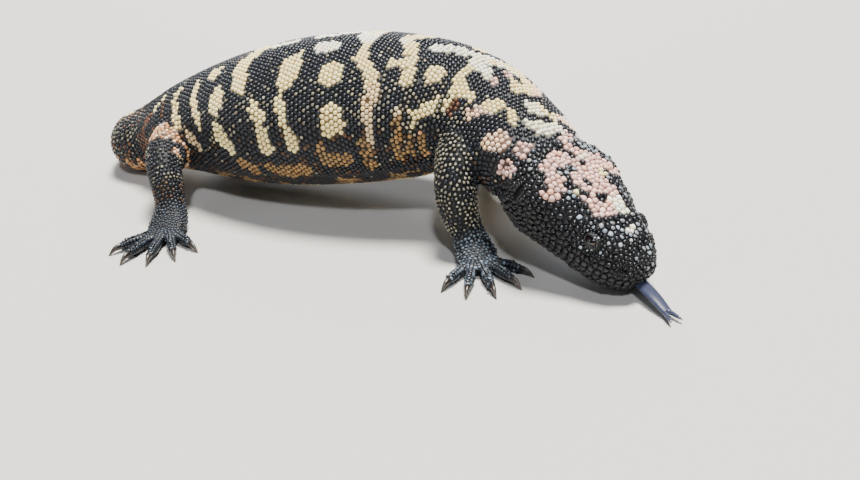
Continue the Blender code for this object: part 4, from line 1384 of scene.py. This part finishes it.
def bead_tree():
    """Geometry nodes: a bead on every point, each side of it trimmed where a neighbour's half begins."""
    tree = bpy.data.node_groups.new("beads", "GeometryNodeTree")
    for name, kind in (
        ("Geometry", "Geometry"),
        ("Bead", "Object"),
        ("Middles", "Object"),
        ("Lowest", "Float"),
        ("Patch", "Float"),
        ("Material", "Material"),
    ):
        tree.interface.new_socket(name, in_out="INPUT", socket_type=f"NodeSocket{kind}")
    tree.interface.new_socket("Geometry", in_out="OUTPUT", socket_type="NodeSocketGeometry")
    node = partial(add, tree)
    given = node("NodeGroupInput").outputs
    field = {
        name: node("GeometryNodeInputNamedAttribute", {"Name": name}, data_type=kind)
        for fields in (BEAD_FIELDS, TEMPLATE_FIELDS)
        for kind, names in fields.items()
        for name in names
        if name == "crest" or name not in LASTING_FIELDS
    }
    bead = node("GeometryNodeObjectInfo", {"Object": given["Bead"]}).outputs["Geometry"]
    middles = node("GeometryNodeObjectInfo", {"Object": given["Middles"]}).outputs["Geometry"]
    copies = node("GeometryNodeInstanceOnPoints", {"Points": given["Geometry"], "Instance": bead})
    solid = node("GeometryNodeRealizeInstances", (copies,))

    upright, way = field["upright"], field["way"]
    across = node(VECTOR_MATH, (upright, field["forward"]), operation="CROSS_PRODUCT")
    split = node("ShaderNodeSeparateXYZ", (way,)).outputs
    along = node(VECTOR_MATH, {0: field["forward"], "Scale": split[0]}, operation="SCALE")
    aside = node(VECTOR_MATH, {0: across, "Scale": split[1]}, operation="SCALE")
    ray = node(VECTOR_MATH, (along, aside), operation="ADD")
    reach = trimmed_reach(node, field, middles, ray)
    share = node(MATH, (reach, field["share"]), operation="MULTIPLY")
    outward = node(VECTOR_MATH, {0: ray, "Scale": share}, operation="SCALE")
    above = node(MATH, (field["crest"], 0.0), operation="MAXIMUM")
    below = node(MATH, (field["crest"], 0.0), operation="MINIMUM")
    dome = node(MATH, (above, field["fullness"]), operation="POWER")
    height = node(MATH, (dome, below), operation="ADD")
    lifted = node(MATH, (height, field["high"]), operation="MULTIPLY")
    flat = node(VECTOR_MATH, (field["centre"], outward), operation="ADD")
    raised = node(VECTOR_MATH, {0: upright, "Scale": lifted}, operation="SCALE")
    spot = node(VECTOR_MATH, (flat, raised), operation="ADD")
    x, y, z = node("ShaderNodeSeparateXYZ", (spot,)).outputs
    held = node(MATH, (z, given["Lowest"]), operation="MAXIMUM")
    spot = node("ShaderNodeCombineXYZ", (x, y, held))
    solid = node("GeometryNodeSetPosition", {"Geometry": solid, "Position": spot})

    half = node(MATH, (given["Patch"], 0.5), operation="MULTIPLY")
    scale = node(MATH, (field["patch"], half), operation="MULTIPLY")
    on_patch = node(VECTOR_MATH, {0: way, "Scale": scale}, operation="SCALE")
    hidden = node("ShaderNodeCombineXYZ", (half,))
    shown = node("ShaderNodeMix", {0: field["under"], 4: on_patch, 5: hidden}, data_type="VECTOR").outputs[1]
    baked = node(VECTOR_MATH, (field["root"], shown), operation="ADD")
    stored = {"Geometry": solid, "Name": "OFBake", "Value": baked}
    solid = node("GeometryNodeStoreNamedAttribute", stored, data_type="FLOAT2", domain="CORNER")
    solid = node("GeometryNodeSetShadeSmooth", (solid,))
    solid = node("GeometryNodeSetMaterial", {"Geometry": solid, "Material": given["Material"]})
    node("NodeGroupOutput", (solid,))
    return tree


def point_cloud(name, points, fields):
    """An object of loose points in metres, with named attributes."""
    mesh = bpy.data.meshes.new(name)
    mesh.vertices.add(len(points))
    mesh.vertices.foreach_set("co", points.astype(np.float32).ravel())
    for field, (kind, values) in fields.items():
        store(mesh, field, kind, values)
    return new_object(name, mesh)


# The pieces of the coat along the body, and how far along it each reaches; the head's is the last
COAT_ENDS = (
    ("coat_tail", 118),
    ("coat_rump", 176),
    ("coat_loin", 212),
    ("coat_back", 246),
    ("coat_chest", 282),
    ("coat_shoulders", 316),
    ("coat_neck", 348),
)


def coat_name(bead):
    """Which piece of the coat a bead belongs to."""
    region = int(bead[REGION])
    if region:
        leg = list(LEGS)[region - 1 if region < FIRST_TOE else (region - FIRST_TOE) // 5]
        return f"coat_{leg}"
    for name, end in COAT_ENDS:
        if bead[ALONG] < end:
            return name
    return "coat_head"


# The beads' forms: reach and rise as shares of the pitch, and how full the dome is
DOME = (0.52, 0.4, 1.0)
BEAD_FORMS = {
    "belly": (0.65, 0.2, 0.7),
    "head": (0.754, 0.42, 0.95),
    "throat": (0.9425, 0.21, 0.95),
    "lip": (0.8, 0.3, 0.6),
    "toe": (1.1, 0.28, 0.75),
}
BELLY_REACH = 58
RISE_SPREAD = 0.08
HEAD_SPREAD = (0.05, 0.16)


def bead_shape(beads):
    """Reach, height, fullness and gap of each bead: domes on the back, flatter scutes below and on toes."""
    rng = np.random.default_rng(SEED + 5)
    pitch, body = beads[:, PITCH], beads[:, REGION] == 0
    head = body & (beads[:, ALONG] > SKULL)
    under = body & (abs(signed(beads[:, ANGLE] - BELOW)) < BELLY_REACH)
    lip = head & (pitch == LIP_SCALE[0])
    places = {"belly": under, "head": head, "throat": head & under, "toe": beads[:, REGION] >= FIRST_TOE}
    form = np.tile(DOME, (len(beads), 1))
    for name, place in places.items():
        form[place] = BEAD_FORMS[name]
    size, high, fullness = pitch * form[:, 0], pitch * form[:, 1], form[:, 2]
    high *= np.exp(rng.normal(0, RISE_SPREAD, len(beads)))
    size[head] *= np.exp(rng.normal(0, HEAD_SPREAD[0], head.sum()))
    high[head] *= np.exp(rng.normal(0, HEAD_SPREAD[1], head.sum()))
    reach, rise, fullness[lip] = BEAD_FORMS["lip"]
    size[lip], high[lip] = pitch[lip] * reach, pitch[lip] * rise
    return size, high, fullness, np.where(lip, LIP_GAP, BEAD_GAP)


def make_coat(beads, normals, foot, crown, crown_from, material):
    """All the pieces of the coat."""
    forward = beads[:, FORWARD]
    forward = unit(forward - normals * (forward * normals).sum(1, keepdims=True))
    size, high, fullness, gap = bead_shape(beads)
    points = to_metres(beads[:, POINT])
    columns = {
        "FLOAT_VECTOR": (points, normals, forward, bake_roots(beads)),
        "FLOAT": (size * MM, high * MM, fullness, gap * MM, crown_from),
        "FLOAT_COLOR": (foot, crown),
        "INT": (np.arange(len(beads)),),
    }
    names = np.array([coat_name(bead) for bead in beads])
    middles = point_cloud("middles", points, {})
    templates = {sides: bead_template(sides) for sides in (BEAD_SIDES, HEAD_BEAD_SIDES)}
    tree = bead_tree()
    sockets = {item.name: item.identifier for item in tree.interface.items_tree if item.in_out == "INPUT"}
    pieces = []
    for name in sorted(set(names)):
        mine = names == name
        fields = {
            field: (kind, values[mine])
            for kind, all_values in columns.items()
            for field, values in zip(BEAD_FIELDS[kind], all_values)
        }
        piece = point_cloud(name, points[mine], fields)
        step = piece.modifiers.new("beads", "NODES")
        step.node_group = tree
        step[sockets["Bead"]] = templates[HEAD_BEAD_SIDES if name == "coat_head" else BEAD_SIDES]
        step[sockets["Middles"]] = middles
        step[sockets["Lowest"]] = BEAD_FLOOR * MM
        step[sockets["Patch"]] = BAKE_PATCH
        step[sockets["Material"]] = material
        evaluated(piece)
        for field in sum((*BEAD_FIELDS.values(), *TEMPLATE_FIELDS.values()), ()):
            if field not in LASTING_FIELDS:
                piece.data.attributes.remove(piece.data.attributes[field])
        pieces.append(piece)
    for helper in (middles, *templates.values()):
        bpy.data.objects.remove(helper)
    return pieces


def paint_skin(skin, beads, foot):
    """Gives the skin between the beads the markings of the beads beside it."""
    tree = search_tree(beads[:, POINT])
    near = [tree.find(p)[1] for p in coordinates(skin.data)]
    store(skin.data, "foot", "FLOAT_COLOR", foot[near])


def new_material(name, **values):
    """A material with a Principled shader: its tree, its shader and uniform values on its sockets."""
    made = bpy.data.materials.new(name)
    made.use_nodes = True
    shader = made.node_tree.nodes["Principled BSDF"]
    for socket, value in values.items():
        shader.inputs[socket.replace("_", " ")].default_value = value
    return made, made.node_tree, shader


# What the noise between two values does: to the scales' roughness, to their colour and to the skin's
WORN = (0.3, 0.7, 0.26, 0.44)
DUSTY = (0.25, 0.75, 0.86, 1.1)
CREASED = (0.2, 0.8, 0.45, 0.8)
# The iris's fibres and the claws' streaks, as so many in a millimetre
FIBRES = 2.5
STREAKS = 1.8
# Stops from the pupil outward, and from a claw's root to its tip
IRIS_STOPS = ((0.24, "#040303"), (0.30, "#3a2114"), (0.62, "#120b08"))
HORN_STOPS = ((0.05, "#120e0c"), (0.95, "#4c4239"))


def grain(tree, shader, size_mm, strength, depth_mm):
    """Fine bumps of a real size, on object coordinates."""
    where = add(tree, "ShaderNodeTexCoord").outputs["Object"]
    speckle = add(tree, "ShaderNodeTexNoise", {"Vector": where, "Scale": 1000 / size_mm, "Detail": 3.0})
    bump = {"Strength": strength, "Distance": depth_mm * MM, "Height": speckle}
    tree.links.new(add(tree, "ShaderNodeBump", bump).outputs[0], shader.inputs["Normal"])
    return speckle


def colour_with(tree, shader, colour):
    tree.links.new(colour, shader.inputs["Base Color"])


def bead_material():
    """Keratin over bone: each bead is a satin dome, duller where worn, its foot darker than its crown."""
    made, tree, shader = new_material("beaded_keratin", Roughness=0.3, IOR=1.46)
    foot, crown, crest, start = (
        add(tree, "ShaderNodeAttribute", attribute_name=name).outputs[kind]
        for name, kind in (("foot", "Color"), ("crown", "Color"), ("crest", "Fac"), ("crown_from", "Fac"))
    )
    end = add(tree, MATH, (start, CROWN_BAND), operation="ADD")
    share = add(tree, "ShaderNodeMapRange", (crest, start, end, 0.0, 1.0), interpolation_type="SMOOTHSTEP")
    colour = add(tree, "ShaderNodeMix", {0: share, 6: foot, 7: crown}, data_type="RGBA").outputs[2]
    speckle = grain(tree, shader, size_mm=0.45, strength=0.35, depth_mm=0.06)
    worn = add(tree, "ShaderNodeMapRange", (speckle, *WORN))
    dusty = add(tree, "ShaderNodeMapRange", (speckle, *DUSTY))
    shaded = add(tree, VECTOR_MATH, {0: colour, "Scale": dusty}, operation="SCALE")
    colour_with(tree, shader, shaded.outputs[0])
    tree.links.new(worn.outputs[0], shader.inputs["Roughness"])
    return made


def skin_material():
    """Thin folded skin between the scales: dull, darker than the beads and finely wrinkled."""
    made, tree, shader = new_material("skin_between_scales", Roughness=0.62, IOR=1.45)
    foot = add(tree, "ShaderNodeAttribute", attribute_name="foot").outputs["Color"]
    speckle = grain(tree, shader, size_mm=0.3, strength=0.5, depth_mm=0.12)
    shade = add(tree, "ShaderNodeMapRange", (speckle, *CREASED))
    shaded = add(tree, VECTOR_MATH, {0: foot, "Scale": shade}, operation="SCALE")
    colour_with(tree, shader, shaded.outputs[0])
    return made


def eye_material():
    """A wet dark eye: a brown iris round a black pupil under a clear film."""
    made, tree, shader = new_material(
        "wet_eye", Roughness=0.08, IOR=1.38, Coat_Weight=1.0, Coat_Roughness=0.02
    )
    off = add(tree, "ShaderNodeAttribute", attribute_name="off_axis").outputs["Fac"]
    where = add(tree, "ShaderNodeTexCoord").outputs["Object"]
    fibres = add(tree, "ShaderNodeTexNoise", {"Vector": where, "Scale": FIBRES / MM, "Detail": 2.0})
    ramp = add(tree, "ShaderNodeValToRGB", (off,))
    ramp.color_ramp.elements.new(IRIS_STOPS[-1][0])
    for stop, (place, colour) in zip(ramp.color_ramp.elements, IRIS_STOPS):
        stop.position = place
        stop.color = linear(colour)
    mix = {0: fibres, 6: ramp, 7: linear("#0a0605")}
    colour_with(tree, shader, add(tree, "ShaderNodeMix", mix, data_type="RGBA").outputs[2])
    return made


def tongue_material():
    """Wet muscle, slate blue with paler flecks, under a clear film."""
    made, tree, shader = new_material(
        "moist_slate_tongue", Roughness=0.28, IOR=1.4, Coat_Weight=0.5, Coat_Roughness=0.1
    )
    speckle = grain(tree, shader, size_mm=0.5, strength=0.4, depth_mm=0.1)
    mix = {0: speckle, 6: linear("#23273a"), 7: linear("#43485e")}
    colour_with(tree, shader, add(tree, "ShaderNodeMix", mix, data_type="RGBA").outputs[2])
    return made


def claw_material():
    """Smooth horn: dark at the root, a paler worn brown at the tip."""
    made, tree, shader = new_material("horn_claw", Roughness=0.32, IOR=1.54)
    tip = add(tree, "ShaderNodeAttribute", attribute_name="to_tip").outputs["Fac"]
    where = add(tree, "ShaderNodeTexCoord").outputs["Object"]
    streaks = add(tree, "ShaderNodeTexNoise", {"Vector": where, "Scale": STREAKS / MM, "Detail": 3.0})
    uneven = add(tree, MATH, (streaks, 0.5), operation="SUBTRACT")
    share = add(tree, MATH, (uneven, tip), operation="ADD")
    ramp = add(tree, "ShaderNodeValToRGB", (share,))
    for stop, (place, colour) in zip(ramp.color_ramp.elements, HORN_STOPS):
        stop.position = place
        stop.color = linear(colour)
    colour_with(tree, shader, ramp.outputs[0])
    grain(tree, shader, size_mm=0.6, strength=0.2, depth_mm=0.05)
    return made


def floor_material():
    """A matt painted board, pale and even."""
    made, tree, shader = new_material("pale_board", Roughness=0.75)
    shader.inputs["Base Color"].default_value = linear("#c0bdb7")
    grain(tree, shader, size_mm=4.0, strength=0.05, depth_mm=0.2)
    return made


# The clear window in front of the eyeball: how far it stands out and how wide it is, in radians
WINDOW_RISE = 0.22
WINDOW_WIDE = 0.55
EYE_RINGS = 22
EYE_SIDES = 32


def make_eye(side):
    """An eyeball with a raised clear window in front; off_axis runs from 0 at its pupil to 2 at its back."""
    centre, out, forward, around = FEATURES[f"eye_{side}"]
    polar = np.repeat(math.pi * np.arange(EYE_RINGS + 1) / EYE_RINGS, EYE_SIDES)[:, None]
    turn = np.tile(2 * math.pi * np.arange(EYE_SIDES) / EYE_SIDES, EYE_RINGS + 1)[:, None]
    way = out * np.cos(polar) + (forward * np.cos(turn) + around * np.sin(turn)) * np.sin(polar)
    verts = centre + way * (EYE_RADIUS + WINDOW_RISE * np.exp(-((polar / WINDOW_WIDE) ** 4)))
    made = new_mesh(f"eyeball_{side}", verts, ring_faces(EYE_RINGS + 1, EYE_SIDES))
    store(made.data, "off_axis", "FLOAT", polar / math.pi * 2)
    work = bmesh.new()
    work.from_mesh(made.data)
    bmesh.ops.remove_doubles(work, verts=work.verts, dist=1e-6)
    bmesh.ops.recalc_face_normals(work, faces=work.faces)
    work.to_mesh(made.data)
    work.free()
    return made


# The lids' section from inside the opening over the rim and down the outside: share of the way out, and how
# far it is from the inner and from the outer face
LID_INSIDE = ((1.5, 0.0), (0.5, 0.0), (0.0, 0.12), (-0.04, 0.35))
LID_OUTSIDE = ((0.06, -0.08), (0.28, 0.0), (0.7, 0.0), (1.2, -0.15))
LID_FOOT = (1.5, 0.1)
LID_SIDES = 48
LID_PINCH = 0.18
LID_SPREAD = 0.98
LID_DROP = 2.4


def make_lid(side):
    """The upper and lower lid in one rim that hugs the eyeball round an almond opening."""
    centre, out, forward, around = FEATURES[f"eye_{side}"]
    inner = EYE_RADIUS + LID_EDGE
    outer = inner + LID_THICK
    profile = [(share, inner + off) for share, off in LID_INSIDE]
    profile += [(share, outer + off) for share, off in LID_OUTSIDE]
    profile.append((LID_FOOT[0], inner + LID_FOOT[1]))
    verts = []
    for share, radius in profile:
        for k in range(LID_SIDES):
            turn = 2 * math.pi * k / LID_SIDES
            way = np.array([math.cos(turn), math.sin(turn)])
            opening = way * LID_OPENING * (1, 1 - LID_PINCH * abs(way[0]) ** 6)
            flat = opening + (way * (EYE_RADIUS * LID_SPREAD) - opening) * min(share, 1.0)
            depth = math.sqrt(max(radius**2 - flat @ flat, 0.0)) - max(share - 1.0, 0) * LID_DROP
            flat[0] *= 1 + (LID_STRETCH - 1) * max(0.0, share)
            verts.append(centre + out * depth + forward * flat[0] + around * flat[1])
    faces = ring_faces(len(profile), LID_SIDES)
    last = (len(profile) - 1) * LID_SIDES
    ahead = [(k + 1) % LID_SIDES for k in range(LID_SIDES)]
    faces += [(last + k, last + ahead[k], ahead[k], k) for k in range(LID_SIDES)]
    made = new_mesh(f"lid_{side}", verts, faces)
    turn_outward(made.data)
    return made


def make_tongue():
    """The flat tongue with its groove and its two points."""
    root = head_point(TONGUE_ROOT, 0, mouth_height(TONGUE_ROOT) - TONGUE_BELOW_LIP)
    lip = head_point(HEAD_LENGTH + TONGUE_PAST_SNOUT, 0, mouth_height(HEAD_LENGTH) - TONGUE_BELOW_LIP)
    turn = math.radians(TONGUE_HEADING)
    aside = np.array([math.cos(turn), math.sin(turn), 0.0])
    share, dip = TONGUE_BEND
    mid = lip + aside * TONGUE_OUT * share - np.array([0, 0, TONGUE_DIP * dip])
    end = lip + aside * TONGUE_OUT - np.array([0, 0, TONGUE_DIP])
    wide, thick = TONGUE_HALF_WIDTH, TONGUE_HALF_THICK
    stalk = Tube(
        [
            (*place, wide * broad, thick * high, thick * high)
            for place, (broad, high) in zip((root, lip, mid, end), TONGUE_SHAPE)
        ]
    )
    row, forward, left, _ = (part[0] for part in stalk.frame(stalk.end))
    parts = [stalk.mesh(*TONGUE_MESH)]
    for side in (-1, 1):
        way = forward + left * side * FORK_SPREAD
        way[2] = -FORK_FALL
        way = unit(way)
        start = row[:3] + left * side * FORK_APART - way * FORK_ROOT
        stations = [
            (*(start + way * t * (FORK_LENGTH + FORK_ROOT)), *(FORK_RADIUS * r,) * 3)
            for t, r in FORK_TAPER
        ]
        parts.append(Tube(stations).mesh(*FORK_MESH))
    made = join_tubes("forked_tongue", parts)
    turn_outward(made.data)
    fuse(made, TONGUE_VOXEL, FUSED_SMOOTHING)
    points = coordinates(made.data)
    off = np.linalg.norm(np.cross(points - lip, unit(end - lip)), axis=1)
    deep, wide = TONGUE_GROOVE
    upper = vertex_vectors(made.data, "normal")[:, 2] > TONGUE_UPPER
    points[:, 2] -= deep * np.exp(-((off / wide) ** 2)) * upper
    made.data.vertices.foreach_set("co", to_metres(points).ravel())
    return made


def make_claws(name):
    """Five curved claws of one foot, each from the end of its toe down to the floor."""
    parts = []
    ahead_of, inside = CLAW_SEAT
    for toe in TOES[name]:
        row, ahead, _, _ = (part[0] for part in toe.frame(toe.end))
        root = row[:3] + ahead * ahead_of - ahead * inside
        length = CLAW_LENGTH + inside
        drop = root[2] - CLAW_TIP_HEIGHT
        stations = []
        for t in np.linspace(0, 1, CLAW_STATIONS):
            rise = CLAW_ARCH * math.sin(math.pi * t) - drop * t**2
            thick = CLAW_RADIUS * (1 - t**CLAW_TAPER) + CLAW_POINT
            spot = root + ahead * length * t + (0, 0, rise)
            stations.append((*spot, thick * CLAW_NARROW, thick, thick))
        parts.append(Tube(stations).mesh(*CLAW_MESH, floor=BEAD_FLOOR))
    made = join_tubes(f"claws_{name}", parts)
    rings, sides = CLAW_MESH
    store(made.data, "to_tip", "FLOAT", np.tile(np.repeat(np.linspace(0, 1, rings), sides), len(parts)))
    turn_outward(made.data)
    return made


def make_camera():
    turn, rise, roll = (math.radians(a) for a in (CAMERA_TURN, CAMERA_RISE, CAMERA_ROLL))
    back = np.array([math.sin(turn) * math.cos(rise), -math.cos(turn) * math.cos(rise), math.sin(rise)])
    level = np.array([math.cos(turn), math.sin(turn), 0.0])
    upright = np.cross(back, level)
    right = math.cos(roll) * level - math.sin(roll) * upright
    top = math.sin(roll) * level + math.cos(roll) * upright
    lens = bpy.data.cameras.new("camera")
    lens.sensor_width = SENSOR
    lens.lens = FOCAL_PIXELS * SENSOR / IMAGE_WIDTH
    lens.clip_start = 0.01
    made = new_object("camera", lens)
    place = Matrix((right, top, back)).transposed().to_4x4()
    place.translation = Vector(to_metres(np.array(CAMERA_AIM) + back * CAMERA_AWAY))
    made.matrix_world = place
    bpy.context.scene.camera = made


# Soft lights. Two broad ones far off: name, where they shine from, how wide they look in degrees, strength
# and colour. Two near ones: name, place and size in metres, power in watts and colour.
FAR_LIGHTS = (
    ("overhead", (0.05, 0.20, 0.95), 18.0, 11.4, "#fdfaf4"),
    ("window", (0.35, -0.65, 1.00), 6.0, 1.7, "#f2f6ff"),
)
NEAR_LIGHTS = (
    ("fill", (-0.80, -0.80, 0.55), 0.6, 2.0, "#e9f0ff"),
    ("rim", (-0.3, 0.9, 0.6), 0.4, 6.0, "#eef4ff"),
)
LIT_POINT = (0, 0, 0.03)
SKY_COLOUR = "#e9edf4"
SKY_STRENGTH = 0.12
FLOOR_WIDE = 60.0


def place_light(lamp, place, power, colour):
    """Puts a lamp at its place, turned to the animal."""
    lamp.energy = power
    lamp.color = linear(colour)[:3]
    made = new_object(lamp.name, lamp)
    made.location = place
    made.rotation_euler = (Vector(LIT_POINT) - Vector(place)).to_track_quat("-Z", "Y").to_euler()


def make_studio():
    """A pale floor, soft lights that look at the animal, and an even sky."""
    bpy.ops.mesh.primitive_plane_add(size=FLOOR_WIDE)
    floor = bpy.context.object
    floor.name = "floor"
    floor.data.materials.append(floor_material())
    for name, place, wide, power, colour in FAR_LIGHTS:
        lamp = bpy.data.lights.new(name, "SUN")
        lamp.angle = math.radians(wide)
        place_light(lamp, place, power, colour)
    for name, place, size, power, colour in NEAR_LIGHTS:
        lamp = bpy.data.lights.new(name, "AREA")
        lamp.size = size
        place_light(lamp, place, power, colour)
    world = bpy.data.worlds.new("studio")
    world.use_nodes = True
    sky = world.node_tree.nodes["Background"]
    sky.inputs["Color"].default_value = linear(SKY_COLOUR)
    sky.inputs["Strength"].default_value = SKY_STRENGTH
    bpy.context.scene.world = world


def flesh_nodes():
    """The solids that the one skin and its coat stand for."""
    names = ["torso_pelvis", "torso_belly", "torso_chest", "tail_base", "tail_middle", "tail_tip"]
    names += ["neck", "head", "lower_jaw"]
    for name, leg in LEGS.items():
        parts = ("upper_arm", "forearm", "hand") if leg["front"] else ("thigh", "shin", "foot")
        names += [f"{part}_{name}" for part in parts]
    return names


def fit(piece, material=None, nodes=()):
    """Hands a finished piece to the frame: what it rides on, stands for and is finished in."""
    if material:
        piece.data.materials.clear()
        piece.data.materials.append(material)
    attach(piece, "root")
    if nodes:
        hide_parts(*nodes)


def main():
    make_camera()
    make_studio()
    skin = make_skin()
    beads, normals = place_beads(skin)
    foot, crown, crown_from = bead_colours(beads)
    paint_skin(skin, beads, foot)
    fit(skin, skin_material(), flesh_nodes())
    for piece in make_coat(beads, normals, foot, crown, crown_from, bead_material()):
        fit(piece)
    wet, horn = eye_material(), claw_material()
    for side in ("left", "right"):
        fit(make_eye(side), wet, [f"eye_{side}"])
        lid = make_lid(side)
        store(lid.data, "foot", "FLOAT_COLOR", np.tile(linear("#101115"), len(lid.data.vertices)))
        fit(lid, bpy.data.materials["skin_between_scales"])
    fit(make_tongue(), tongue_material(), ["tongue"])
    for name in LEGS:
        fit(make_claws(name), horn, [f"claw_{name}_{i}" for i in range(1, 6)])


main()
